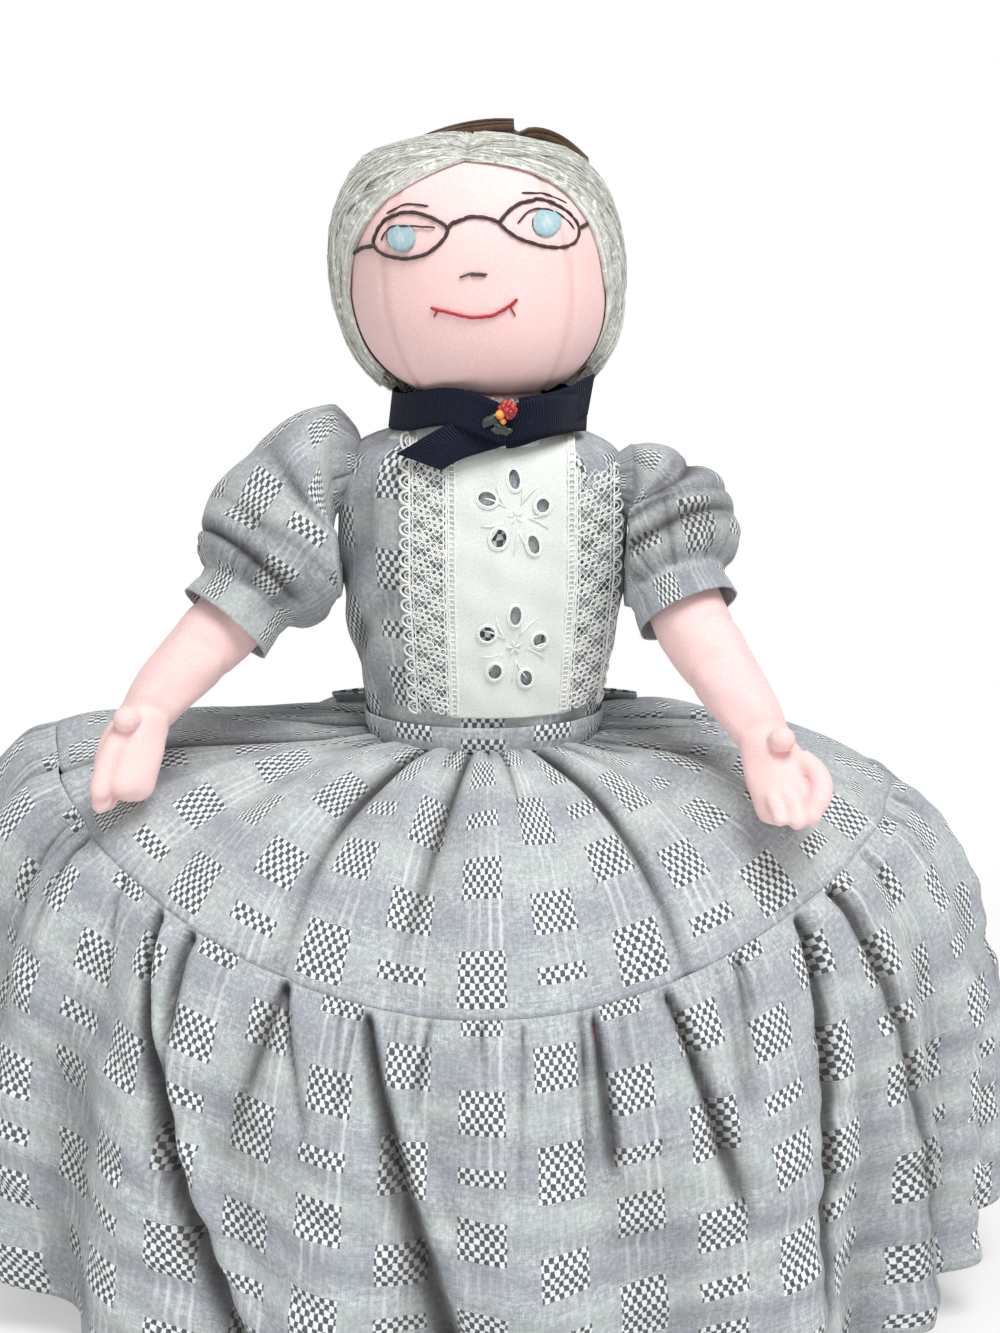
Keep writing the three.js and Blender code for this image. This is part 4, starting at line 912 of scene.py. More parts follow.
def bib():
    x, z = np.linspace(BIB_RIGHT, BIB_LEFT, 75), np.linspace(BIB_FOOT, BIB_TOP, 150)
    gx, gz = np.meshgrid(x, z, indexing="ij")
    mid_x, mid_z = (gx[1:, 1:] + gx[:-1, :-1]) / 2, (gz[1:, 1:] + gz[:-1, :-1]) / 2
    keep = np.ones(mid_x.shape, bool)
    # the net is cut at each eyelet, and its points there are drawn to the rim
    for px, pz, half_x, half_z, turn in PETALS:
        u, v = turned(mid_x - px, mid_z - pz, -turn)
        keep &= (u / half_x) ** 2 + (v / half_z) ** 2 > 1
    for px, pz, half_x, half_z, turn in PETALS:
        u, v = turned(gx - px, gz - pz, -turn)
        r = np.sqrt((u / half_x) ** 2 + (v / half_z) ** 2)
        grow = np.where((r < 1.12) & (r > 0.3), 1.02 / np.maximum(r, 0.3), 1)
        u, v = turned(u * grow, v * grow, turn)
        gx, gz = px + u, pz + v
    wave = 0.25 * np.sin(gx * 0.5 + 0.08 * gz) * np.sin(gz * 0.11 + 1) + 0.15 * np.sin(gz * 0.4 + gx * 0.2)
    points = on_bib(gx, gz, 2.9 + wave)
    i, j = np.nonzero(keep)
    n = len(z)
    quads = np.stack([i * n + j, (i + 1) * n + j, (i + 1) * n + j + 1, i * n + j + 1], -1)
    flat = np.stack([gx, gz], -1)
    corners = np.stack([flat[i, j], flat[i + 1, j], flat[i + 1, j + 1], flat[i, j + 1]], -2)
    used = np.unique(quads)
    index = np.zeros(gx.size, int)
    index[used] = np.arange(len(used))
    soup = Soup().add(points.reshape(-1, 3)[used], index[quads], corners)
    size = (BIB_LEFT - BIB_RIGHT, BIB_TOP - BIB_FOOT)
    sew(soup, "bib_panel_cloth", gran, 0.35, "doll_body", "eyelet_cotton", ["bib_panel"], size, "stretched",
        ["gran_bodice_cloth"])
    bib_stitching()


def bib_stitching():
    soup = Soup()
    for k in range(len(PETALS)):
        for grow, radius in ((0.25, 0.42), (0.8, 0.26)):
            px, pz = petal(k, grow, 40)
            path = on_bib(px, pz, 3.3)
            soup.tube(path, TORSO.normal, radius * (1 + 0.15 * np.sin(np.arange(40) * 2.5)), 5, True)
    for cx, cz in MOTIFS:
        for k in range(5):
            a = 0.5 + k * TAU / 5
            t = np.linspace(0.15, 1, 6)
            path = on_bib(cx + 2.6 * t * math.cos(a), cz + 2.6 * t * math.sin(a), 3.15)
            soup.tube(path, TORSO.normal, 0.42 * np.sin(math.pi * np.linspace(0.15, 0.9, 6)), 5)
        for k in range(5):
            a = 0.5 + (k + 0.5) * TAU / 5
            for bend in (-0.25, 0.25):
                t = np.linspace(0, 1, 6)
                b = a + bend * t
                path = on_bib(cx + (4 + 7 * t) * np.cos(b), cz + (4 + 8 * t) * np.sin(b), 3.1)
                soup.tube(path, TORSO.normal, 0.38 * np.sin(math.pi * (0.1 + 0.8 * t)), 5)
    for x0 in (-10.6, -8.6, 26.6, 28.6):
        zz = np.linspace(13.5, 102.5, 90)
        path = on_bib(x0 + 0.12 * np.sin(zz * 1.7), zz, 3.2)
        soup.tube(path, TORSO.normal, 0.4 + 0.1 * np.sin(zz * 4.0), 5)
    for x0 in (-9.6, 27.6):
        for zz in np.arange(14.5, 102, 1.7):
            path = on_bib(x0 + np.linspace(-0.9, 0.9, 4), zz + np.array([0, 0.25, 0.25, 0]), 3.2)
            soup.tube(path, TORSO.normal, 0.3, 4)
    place(soup.make("bib_stitching", gran), "doll_body", "lace_cotton", [])


def lace(name, node, inner, way, top):
    """A strip of net with flowers, a straight heading inside and a scalloped picot edge outside."""
    foot, edge = 13.5, 11.8
    net, worked = Soup(), Soup()

    def lay(soup, u, v, radius, sides=4, closed=False, lift=3.15):
        path = on_bib(inner + way * np.asarray(u), np.asarray(v), lift)
        soup.tube(path, TORSO.normal, radius, sides, closed)

    v = np.linspace(foot, top, 80)
    for u, radius in ((0.3, 0.42), (1.2, 0.26), (edge, 0.4), (edge - 1.0, 0.22)):
        lay(net, u + 0.08 * np.sin(v * 2), v, radius)
    pitch = 2.5
    for k in range(-6, int((top - foot) / pitch) + 1):
        for lean in (1, -1):
            u = np.linspace(0, edge, 9)
            line = foot + (k + (0 if lean > 0 else 6)) * pitch + lean * u * 1.25
            inside = (line >= foot) & (line <= top)
            if inside.sum() >= 2:
                lay(net, u[inside], line[inside] + 0.12 * np.sin(u[inside] * 3), 0.15)
    a = ring(10)
    rows = int((top - foot) / 9.0)
    for row in range(rows):
        for u0, shift in ((3.7, 0.0), (8.2, 0.5)):
            v0 = foot + 4.0 + (row + shift) * (top - foot - 4) / rows
            if v0 > top - 2:
                continue
            lay(worked, u0 + 0.85 * np.cos(a), v0 + 0.85 * np.sin(a), 0.3, 4, True, 3.35)
            for p in range(6):
                b = p * TAU / 6 + 0.3
                cu, cv = u0 + 2.2 * math.cos(b), v0 + 2.2 * math.sin(b)
                lay(worked, cu + 1.0 * np.cos(a), cv + 1.0 * np.sin(a), 0.3, 4, True, 3.3)
    count = round((top - foot) / 5.0)
    step = (top - foot) / count
    arch = np.linspace(0, math.pi, 11)
    for k in range(count):
        mid = foot + (k + 0.5) * step
        lay(worked, edge + 3.0 * np.sin(arch), mid - 0.44 * step * np.cos(arch), 0.52)
        lay(worked, edge + 1.5 * np.sin(arch), mid - 0.22 * step * np.cos(arch), 0.26)
        lay(worked, [edge, edge + 0.9], [mid + step / 2, mid + step / 2], 0.3)
    flowers = place(worked.make(name + "_flowers", gran), "doll_body", "lace_cotton", [])
    base = place(net.make(name + "_net", gran), "doll_body", "lace_cotton", [node])


bib()
lace("lace_right", "bib_lace_right", BIB_RIGHT, -1, 103.5)
lace("lace_left", "bib_lace_left", BIB_LEFT, 1, 94.0)

# Neck ribbon with its crossing and tail, and the brooch

TAIL_CUT = 11.0  # slant of the ribbon's cut end


def strip(name, centre, outward, nodes, rests, way=1, cut=0.0):
    """A ribbon: its middle line and the way its face looks, as rows of points; cut slants its far end."""
    share = np.linspace(-0.5, 0.5, 9)
    run = unit(np.gradient(centre, axis=0))
    across = way * unit(np.cross(run, outward))
    length = lengths_along(centre)
    slant = cut * share[None] * smooth(2.5 * length / length[-1] - 1.5)[:, None]
    points = centre[:, None] + across[:, None] * (share * RIBBON)[None, :, None]
    points = points + run[:, None] * slant[..., None]
    soup = Soup().grid(points, uv=stacked(length[:, None], (share * RIBBON)[None]))
    sew(soup, name, gran, 0.9, "doll_body", "grosgrain", nodes, (length[-1], RIBBON), "folded", rests)


def ribbon():
    # a band round the neck, low where its ends cross
    cross = -math.pi / 2 + 0.22
    a = np.linspace(cross, cross + TAU, 240)
    gap = np.minimum(a - cross, cross + TAU - a)
    from_left = cross + TAU - a
    z = 111.6 + 4.6 * bell(from_left - 0.5, 0.55) - 2.6 * bell(gap, 0.26)
    stand = 1 + 0.1 * bell(gap, 0.7) + 0.14 * bell(from_left, 0.45)
    half_width, half_depth = 30.8 * stand, 27.8 * stand
    centre = np.stack([half_width * np.cos(a), half_depth * np.sin(a), z], -1)
    outward = unit(np.stack([np.cos(a), np.sin(a), 0.12 + 0 * a], -1))
    strip("ribbon_band", centre, outward, ["neck_ribbon"], ["gran_bodice_cloth"], -1)
    # the other side comes round under it and its end lies on the bib
    stops = [(33.5, -8, 111.2), (31, -14.5, 112.2), (25, -23.5, 113.2), (16.5, -29.4, 112.8)]
    stops += [(6, -31.4, 110.2), (-8.5, -30.8, 105.2), (-20.5, -29.6, 98.4)]
    path = spline(stops, 80)
    outward = unit(path * np.array([1, 1.5, 0]))
    outward[:, 2] = 0.3 * smooth((10 - path[:, 0]) / 20)
    strip("ribbon_end_low", path, outward, ["ribbon_tail"], ["bib_panel_cloth"], cut=TAIL_CUT)
    # the end that stands up beside the chin
    path = spline([(12, -27.4, 113.0), (20, -25.4, 113.8), (28, -18.6, 115.2), (34.8, -10.4, 117.6)], 50)
    outward = unit(path * np.array([1, 1.3, 0]))
    strip("ribbon_end_high", path, outward, [], ["ribbon_band"], cut=-TAIL_CUT / 2)


def frill(name, turn, thickness, nodes, size, points, wave, shade, rests, flip=False):
    """A gathered strip round a neck; wave says where it comes forward, shade how dark its hollows are."""
    rows = np.linspace(0, size[1], points.shape[1])
    uv = cloth_uv(np.broadcast_to(rows, points.shape[:2]), size[0])
    soup = Soup().grid(points, True, flip, uv, np.clip(-wave, 0, 1) * shade)
    sew(soup, name, turn, thickness, "doll_body", "eyelet_cotton", nodes, size, "gathered", rests)


def throat_lace():
    """Behind the ribbon, tallest in front."""
    a, t = ring(240), np.linspace(0, 1, 10)[None]
    wave = np.cos(26 * a)[:, None] * t**1.5
    flare = (1 - t) ** 3
    r = 26.2 + 0.8 * wave
    tall = 10.5 + 5.0 * bell(a - 1.5 * math.pi, 0.8)[:, None]
    z = 102.8 + tall * t + 0.5 * np.cos(52 * a)[:, None] * t**4
    points = rings(a, r + 7.0 * flare, r - 2.6 + 3.8 * flare, z)
    frill("throat_lace", gran, 0.3, [], (185, 13.6), points, wave, 0.5, ["ribbon_band"])


ribbon()
throat_lace()

BROOCH = np.array([7.0, -35.6, 114.4])


def ball(soup, centre, radius, squash=(1, 1, 1), turn=0.0, n=12):
    """A bead of the brooch, its place given from the brooch's middle."""
    b = np.linspace(-math.pi / 2 + 0.02, math.pi / 2 - 0.02, n // 2 + 3)[None]
    p = rings(ring(n), np.cos(b), np.cos(b), np.sin(b)) * radius * np.asarray(squash)
    x, z = turned(p[..., 0], p[..., 2], turn)
    soup.grid(np.stack([x, p[..., 1], z], -1) + (BROOCH + np.asarray(centre)), True, caps=True)


def brooch():
    g = np.random.default_rng(3)
    berry = Soup()
    seat = np.array([1.0, 0, 1.8])
    ball(berry, seat, 2.6)
    for k in range(26):
        b, a = math.asin(-0.95 + 1.9 * (k + 0.5) / 26), k * 2.4
        d = np.array([math.cos(b) * math.cos(a), math.cos(b) * math.sin(a), math.sin(b)])
        ball(berry, seat + 2.35 * d, 0.95 + 0.15 * g.random(), n=8)
    place(berry.make("brooch_berries", gran), "doll_body", "red_glass", ["brooch_berry"])
    amber = Soup()
    ball(amber, (-1.4, -1.7, 0.6), 1.6, n=14)
    ball(amber, (-0.4, -1.2, -1.6), 1.1, n=10)
    place(amber.make("brooch_amber", gran), "doll_body", "amber_glass", ["brooch_bead"])
    for name, node, x, z, turn in (("a", "upper", -4.2, -1.6, 65), ("b", "lower", -0.8, -4.4, -20)):
        leaf = Soup()
        for off, size, fan in ((0, 3.0, -25), (-1.6, 2.2, 0), (1.6, 2.0, 25)):
            ball(leaf, (x + off, 1.0, z - 0.4 * abs(off)), size, (1, 0.32, 0.55), turn + fan)
        place(leaf.make("brooch_leaf_" + name, gran), "doll_body", "green_glass", ["brooch_leaf_" + node])


brooch()

# Heads: stuffed cotton in three panels, with stitched faces

SEAM_X = 29.5  # of the middle panel at its widest


def head(name, turn, body, node):
    t = np.concatenate([[0.0, 0.002], np.linspace(0.008, 0.985, 92), [0.994, 0.999]])
    rows = np.interp(t, np.linspace(0, 1, 400), HEAD.z)
    a = ring(144)
    z = np.broadcast_to(rows[None], (144, len(rows)))
    base = HEAD.point(a[:, None], z)
    x_seam = SEAM_X * np.clip(1 - ((z - 36) / 62) ** 2, 0.3, 1)
    gap = np.abs(np.abs(base[..., 0]) - x_seam)
    groove = bell(gap, 0.9) * (base[..., 1] < 0)
    lump = 0.35 * ripple(a[:, None], z, 77, 2, 7, 8, 0.02)
    lump = lump - 0.55 * groove + 0.25 * bell(gap, 4) - 0.12 * groove * np.sin(z * 2.1)
    pull = 1.6 * bell(z, 9) * (0.35 + 0.65 * np.abs(np.sin(9 * a + 1))[:, None])
    points = HEAD.point(a[:, None], z, lump - pull * 0.35)
    # tint darkens the seam groove, a dark seam with painted shade along it, and paints shade under the chin
    soup = Soup().grid(points, True, False, None, 0.4 * groove + 0.12 * bell(z, 6), caps=True)
    place(soup.make(name, turn), body, "skin_cotton", [node], fill=0.95)


head("gran_head_form", gran_head, "gran_head", "gran_head")
head("girl_head_form", girl_head, "girl_head", "girl_head")


def stitches(soup, points, radius, length, closed=False, lift=0.55, tint=0.0, seed=1):
    """A line of back stitches on the head, each a short thread that dips in at both ends."""
    g = np.random.default_rng(seed)
    p = np.asarray(points, float)
    if closed:
        p = np.vstack([p, p[:1]])
    line = resample(np.column_stack([spline(p, 160), np.zeros(160)]), 400)[:, :2]
    d = lengths_along(line)
    count = max(1, round(d[-1] / length))
    for k in range(count):
        t = np.linspace(k - 0.06, k + 1.06, 9) / count * d[-1]
        t = np.clip(t, 0, d[-1])
        x, z = np.interp(t, d, line[:, 0]), np.interp(t, d, line[:, 1])
        jog = 0.12 * g.normal()
        bow = np.sin(np.linspace(0.0, math.pi, 9)) ** 0.6
        path = HEAD.front(x, z + jog, lift * (0.25 + 0.75 * bow))
        soup.tube(path, HEAD.normal, radius * (0.72 + 0.28 * bow), 6, tint=tint)


def satin_disc(soup, x, z, radius, top, seed):
    """A filled round of satin stitch, cut off by the eyelid at top."""
    g = np.random.default_rng(seed)
    for u in np.arange(-radius + 0.3, radius, 0.42):
        half = math.sqrt(max(radius**2 - u * u, 0.01))
        v = np.linspace(-half, min(half, top), 7)
        lift = 0.35 + 0.2 * math.sqrt(max(0, 1 - (u / radius) ** 2))
        path = HEAD.front(x + u + 0.07 * v, z + v + 0.1 * g.normal(), lift)
        # painted highlight: the middle of the iris is whitened as if it caught the light
        shine = 1.5 * np.exp(-(u**2 + v**2) / 2.6) * (0.6 + 0.4 * np.sin(3.2 * u + 2.0 * v))
        shine = np.clip(0.1 + shine + 0.25 * (g.random() - 0.5), 0, 1)
        soup.tube(path, HEAD.normal, 0.32, 5, tint=np.repeat(shine[None], 5, 0))


FACE_RISE = 1.5  # of the grandmother's whole face above the places written here
SPECTACLES = [  # line, thread radius, stitch length, closed
    ([(-32.2, 47.4), (-30.4, 51.4), (-26.6, 55.6), (-18.6, 57.4), (-12.6, 55.8),
      (-8.2, 52.6), (-12.6, 46.8), (-18.6, 44.0), (-25.2, 43.4), (-30.4, 45.0)], 0.64, 3.4, True),
    ([(7.7, 54.6), (11.8, 58.8), (17.9, 61.2), (25.3, 59.6), (30.7, 55.4),
      (32.6, 51.8), (31.4, 47.8), (27.5, 46.6), (21.3, 47.3), (12.5, 50.5)], 0.64, 3.4, True),
    ([(-8.6, 52.4), (-5.4, 55.2), (-1, 56.4), (4.0, 56.2), (7.9, 54.8)], 0.66, 3.4, False),
    ([(-32.0, 46.6), (-36.0, 45.4), (-40.0, 42.0)], 0.7, 3.2, False),
    ([(32.5, 51.8), (36.0, 52.8), (40.0, 51.8)], 0.7, 3.2, False),
]
EYES = {  # middle of the iris, and the upper lid's line
    "right": (-22.9, 49.8, [(-29.4, 48.6), (-26.6, 52.2), (-22.8, 53.4), (-18.0, 53.2), (-12.2, 53.0)]),
    "left": (22.7, 54.4, [(13.6, 54.6), (16.8, 57.6), (22.5, 58.4), (28.5, 54.8), (31.2, 51.4)]),
}
BROWS = {
    "right": [(-27.4, 56.8), (-21.0, 59.6), (-14.0, 59.4)],
    "left": [(15.3, 63.4), (22.5, 62.6), (29.4, 59.4)],
}
NOSE = [  # line, thread radius, stitch length
    ([(-5.2, 38.0), (-1.2, 39.4), (3.4, 39.2)], 0.36, 4.5),
    ([(-1.8, 38.8), (0.6, 38.9), (3.0, 38.6)], 0.28, 4.0),
]
SMILE = [
    ([(-14.6, 28.4), (-9.6, 27.2), (-2.4, 25.6), (3.4, 26.0), (9.0, 28.6), (12.4, 31.2)], 0.56, 3.4),
    ([(-12.4, 28.0), (-13.8, 25.4)], 0.3, 3.0),
    ([(10.0, 29.0), (11.6, 26.0)], 0.3, 3.5),
]


def gran_face():
    def sewn(name, slot, nodes, lines, seed, **more):
        soup = Soup()
        for k, (line, *thread) in enumerate(lines):
            stitches(soup, [(x, z + FACE_RISE) for x, z in line], *thread, seed=seed + k, **more)
        place(soup.make(name, gran_head), "gran_head", slot, nodes)

    sewn("spectacle_stitches", "dark_thread", ["spectacles"], SPECTACLES, 1)
    lids = Soup()
    low = ring(16)[7:12]
    for side, (x, z, lid) in EYES.items():
        disc = Soup()
        satin_disc(disc, x, z + FACE_RISE, 4.4, 3.5, 8)
        place(disc.make("gran_eye_" + side, gran_head), "gran_head", "blue_thread", ["gran_iris_" + side])
        stitches(lids, [(u, v + FACE_RISE) for u, v in lid], 0.32, 4.0, lift=0.8, seed=9)
        lower = np.stack([x + 4.6 * np.cos(low), z + FACE_RISE + 4.4 * np.sin(low)], -1)
        stitches(lids, lower, 0.16, 5.0, lift=0.5, seed=10)
    place(lids.make("lid_stitches", gran_head), "gran_head", "dark_thread", [])
    for side, line in BROWS.items():
        nodes = ["gran_brow_" + side]
        sewn("gran_brow_stitch_" + side, "dark_thread", nodes, [(line, 0.34, 4.5)], 11, lift=0.4)
    sewn("nose_stitches", "dark_thread", ["gran_nose_stitch"], NOSE, 14, lift=0.5, tint=0.1)
    sewn("gran_smile", "red_thread", ["gran_mouth_stitch"], SMILE, 16)


def girl_face():
    lids, smile = Soup(), Soup()
    for side, x in (("right", -15.0), ("left", 15.0)):
        disc = Soup()
        satin_disc(disc, x, 41.9, 4.3, 3.6, 18)
        place(disc.make("girl_eye_" + side, girl_head), "girl_head", "blue_thread", ["girl_iris_" + side])
        stitches(lids, [(x - 6.2, 43.6), (x, 46.6), (x + 6.2, 43.6)], 0.36, 3.2, lift=0.7, seed=19)
        stitches(lids, [(x - 5.5, 51.0), (x, 52.6), (x + 5.5, 51.2)], 0.3, 3.2, lift=0.4, seed=20)
    stitches(lids, [(-2.0, 32.2), (0, 31.4), (2.0, 32.2)], 0.36, 2.4, seed=22)
    place(lids.make("girl_lids", girl_head), "girl_head", "dark_thread", [])
    stitches(smile, [(-9, 24.0), (-4, 21.4), (0, 20.6), (4, 21.4), (9, 24.0)], 0.45, 3.2, seed=21)
    place(smile.make("girl_smile", girl_head), "girl_head", "red_thread", ["girl_mouth_stitch"])


gran_face()
girl_face()

# Hair: strands of yarn laid over a thin cap

CENTRE = np.array([0.0, 0.0, 36.0])  # of the head: the hair's directions start there


def on_head(points):
    """Directions from the head's middle."""
    return unit(np.asarray(points, float) - CENTRE)


def between_ways(a, b, t):
    """Even turning from direction a to direction b."""
    angle = np.arccos(np.clip((a * b).sum(-1), -1, 1))[..., None]
    t = np.asarray(t)[..., None]
    return (np.sin((1 - t) * angle) * a + np.sin(t * angle) * b) / np.maximum(np.sin(angle), 1e-6)


def quadratic(p0, p1, p2, t):
    p0, p1, p2 = (np.asarray(p, float) for p in (p0, p1, p2))
    t = t[:, None]
    return (1 - t) ** 2 * p0 + 2 * t * (1 - t) * p1 + t**2 * p2


def hairline(side, n, parting, control, cheek, foot):
    """The hair's front edge on one side, from the parting to its lower end."""
    t = np.linspace(0, 1, 40)
    curve = quadratic(parting, control, (side * 40.6, cheek), t)
    front = HEAD.front(np.clip(curve[:, 0], -41.2, 41.2), curve[:, 1])
    drop = np.linspace(cheek, foot, 14)[1:]
    w, d = HEAD.at(drop)[:2]
    y = -7.0 + 3 * np.linspace(0, 1, len(drop))
    x = side * w * np.sqrt(np.clip(1 - (y / d) ** 2, 0, 1))
    low = np.stack([x, y, drop], -1)
    return resample(np.vstack([front, low]), n)


def strands(soup, front, back, seed, count, lift, radius, wave, crown=0.0):
    """Strands between the front edge and the back line; both run from the parting down."""
    g = np.random.default_rng(seed)
    df, db = on_head(front), on_head(back)
    n = 18
    for k in range(count):
        q = (k + g.random()) / count
        start, end = 0.12 * g.random() ** 3, 1 - 0.35 * g.random() ** 4
        t = np.linspace(start, end, n)
        here = follow(t, np.linspace(0, 1, len(df)), df)
        there = follow(t, np.linspace(0, 1, len(db)), db)
        wander = q + wave * np.sin(t * g.uniform(4, 9) + g.uniform(0, TAU)) + g.normal(0, 0.012) * t
        way = unit(between_ways(unit(here), unit(there), np.clip(wander, -0.012, 1.02)))
        high = lift[0] + (lift[1] - lift[0]) * g.random() ** 0.7
        rise = high * smooth(np.minimum((t - start) / 0.08, 1) * 0.6 + 0.4)
        rise = rise + 0.5 * np.sin(t * g.uniform(6, 14) + g.uniform(0, TAU))
        rise = 0.5 + (rise - 0.5) * (0.25 + 0.75 * smooth(np.clip(wander, 0, 1) / 0.09))
        rise = rise * (1 - crown * smooth((way[:, 2] - 0.72) / 0.22))
        path = CENTRE + way * (HEAD.reach(way, CENTRE) + rise)[:, None]
        thick = radius * g.uniform(0.75, 1.35) * np.sin(math.pi * np.linspace(0.12, 0.9, n)) ** 0.4
        soup.tube(path, way, thick, 5, tint=np.clip(g.normal(0.58, 0.32), 0, 1))


def cap(front_right, front_left, lift, back):
    """The cloth cap under the strands, from front edge to back line on each side."""
    soup = Soup()
    q = np.linspace(0.004, 1, 46)[:, None]
    for side, front in ((-1, front_right), (1, front_left)):
        way = unit(between_ways(on_head(front)[None], on_head(back)[None], q))
        points = CENTRE + way * (HEAD.reach(way, CENTRE) + lift)[..., None]
        soup.grid(points, False, side > 0, None, 0.6)
    return soup


def back_line(n, foot):
    """Down the back of the head, from behind the parting to the nape."""
    start_y = 6.0
    t = np.linspace(0, 1, 60)
    z = 78.0 - (78.0 - foot) * t**1.4
    y = np.where(t < 0.06, start_y, HEAD.at(z)[1])
    return resample(stacked(0.4, np.maximum(y, start_y), z), n)


def gran_hair():
    parting = (-2.5, 74.2)
    right = hairline(-1, 48, parting, (-40.0, 63.0), 34.0, 6.0)
    left = hairline(1, 48, parting, (40.0, 73.0), 34.0, 9.0)
    back = back_line(48, 6.0)
    soup = cap(right, left, 1.2, back)
    for front, seed in ((right, 101), (left, 102)):
        strands(soup, front, back, seed, 420, (2.2, 5.0), 0.62, 0.016, 0.55)
        strands(soup, front, back, seed + 10, 190, (3.8, 5.6), 0.42, 0.035, 0.55)
        strands(soup, front, back, seed + 20, 260, (4.6, 6.6), 0.15, 0.06, 0.5)
    place(soup.make("gran_hair_yarn", gran_head), "gran_head", "grey_yarn", ["gran_hair"])


def girl_hair():
    parting = (0.0, 56.0)
    right = hairline(-1, 40, parting, (-40.0, 56.0), 33.6, 6.0)
    left = hairline(1, 40, parting, (40.0, 56.0), 33.6, 6.0)
    back = back_line(40, 6.0)
    soup = cap(right, left, 1.4, back)
    for front, seed in ((right, 111), (left, 112)):
        strands(soup, front, back, seed, 150, (2.0, 4.0), 0.85, 0.01)

    def pressed(v):
        v = v.copy()
        v[:, 2] = np.minimum(v[:, 2], GIRL_WAIST - GIRL_HEAD_FOOT - 0.5)
        return girl_head(v)

    place(soup.make("girl_hair_yarn", pressed), "girl_head", "chestnut_yarn", ["girl_hair"])
    bun = Soup()
    g = np.random.default_rng(5)
    middle = np.array([0, HEAD_HALF_DEPTH + HAIR + 6.0, HEAD_HEIGHT / 2])
    t = np.linspace(0, TAU, 26)[:-1]
    for k in range(46):
        tilt = g.uniform(-0.5, 0.5, 2)
        size = 11.8 * math.sqrt(max(0.08, 1 - ((k - 22.5) / 25) ** 2))
        y = (k - 22.5) / 23 * 5.0 + tilt[0] * np.sin(t)
        path = np.stack([size * np.cos(t), y, size * np.sin(t) + tilt[1] * np.cos(2 * t)], -1)
        bun.tube(path + middle, unit(path), 1.15, 5, True, tint=np.clip(g.normal(0.5, 0.25), 0, 1))
    place(bun.make("girl_bun_yarn", girl_head), "girl_head", "chestnut_yarn", ["girl_bun"])


gran_hair()
girl_hair()


def bow_loop(soup, way, root, tip, half_height, depth, pinch, droop, seed, tilt=0.0):
    """One loop of a bow: a strip that runs out behind and comes back in front, pinched at the knot."""
    root, tip = np.asarray(root), np.asarray(tip)
    t = np.linspace(0, 1, 81)
    a = math.pi * t
    out = np.sin(a) ** 0.62
    body = np.sin(np.clip(out, 0, 1) * math.pi / 2)
    open_by = 0.22 + 0.78 * np.sin(np.clip(out * 1.25, 0, 1) * math.pi / 2)
    y = depth * np.cos(a) * open_by * np.minimum(1, (1.02 - out) ** 0.18 * 1.05)
    line = root + np.outer(out, tip - root) + np.stack([0 * t, y, -droop * out**2], -1)
    share = np.linspace(-1, 1, 25)
    tall = half_height * (pinch + (1 - pinch) * body**0.7)
    gather = (1 - body[:, None] ** 0.8) * 1.5 * np.cos(5 * math.pi * share[None] + seed)
    roll = 0.9 * body[:, None] * np.sin(1.7 * share[None] + seed)
    stand = tall[:, None] * share[None]
    b = math.radians(tilt)
    y = gather + roll * np.sign(0.5 - t)[:, None] * 0.4 + math.sin(b) * stand
    points = line[:, None] + stacked(0.5 * roll * way, y, math.cos(b) * stand)
    length = lengths_along(line)
    uv = stacked((half_height * share)[None], length[:, None])
    # painted shade: darker where the gathers near the knot fold in
    soup.grid(points, False, way < 0, uv, np.clip(-gather, 0, 1) * 0.7)
    return length[-1]


def bow_tie(soup, middle, half_width, half_height, half_depth):
    """The band round a bow's middle, with a few soft pleats."""
    a, t = ring(48)[:, None], np.linspace(-1, 1, 15)[None]
    swell = 1 + 0.06 * np.cos(4 * math.pi * t) - 0.3 * np.abs(t) ** 6 + 0.03 * np.cos(3 * a)
    points = stacked(half_width * t, half_depth * swell * np.cos(a), half_height * swell * np.sin(a))
    uv = cloth_uv(np.broadcast_to(t * half_width, swell.shape), math.pi * (half_height + half_depth))
    # painted shade: the band darker towards its ends, where it wraps under
    tint = np.broadcast_to(0.4 * np.abs(t) ** 4, swell.shape)
    soup.grid(np.asarray(middle) + points, True, False, uv, tint)


def hair_bow():
    seat = HEAD_HEIGHT + HAIR + 0.8
    loops = ((-1, "right", -31.0, 0.85), (1, "left", 37.0, 0.3))
    for side, name, tip, pinch in loops:
        soup = Soup()
        root, end = (14.9 + side, 12, seat - 6.2), (tip, 16, seat - 7.2)
        length = bow_loop(soup, side, root, end, 7.2, 4.6, pinch, 12.0, side)
        sew(soup, "hair_bow_" + name, gran_head, 0.9, "gran_head", "brown_felt", ["hair_bow_loop_" + name],
            (15.1, length), "folded", ["gran_hair_yarn"])
    knot = Soup()
    bow_tie(knot, (11.5, 13.5, seat - 7.6), 4.6, 4.8, 5.6)
    sew(knot, "hair_bow_tie", gran_head, 0.9, "gran_head", "brown_felt", ["hair_bow_knot"], (10.0, 33),
        "folded", ["hair_bow_right", "hair_bow_left"])


hair_bow()


def sash():
    seat, height = 36.4, 5.4  # of the knot's middle: behind the waistband, above the waist
    soup = Soup()
    length = 0
    for side in (-1, 1):
        root, tip = (side * 2, seat, height - 1.2), (side * 53.5, seat + 2, height - 2.4)
        length += bow_loop(soup, side, root, tip, 5.4, 2.0, 0.5, 2.6, side, -50)
    sew(soup, "sash_bow", gran, 0.6, "doll_body", "dress_cotton", ["waist_bow"], (11.3, length), "folded",
        ["waistband"])
    soup = Soup()
    bow_tie(soup, (0, seat, height - 0.4), 6, 5.0, 5.8)
    sew(soup, "sash_knot", gran, 0.6, "doll_body", "dress_cotton", [], (12, 36), "folded", ["sash_bow"])


sash()

# Arms and puff sleeves, local to the shoulder seam

BACK = np.array([0, 1.0, 0])
SHARES = np.linspace(0, 1, 145)  # of the arm's length, at the points of its path


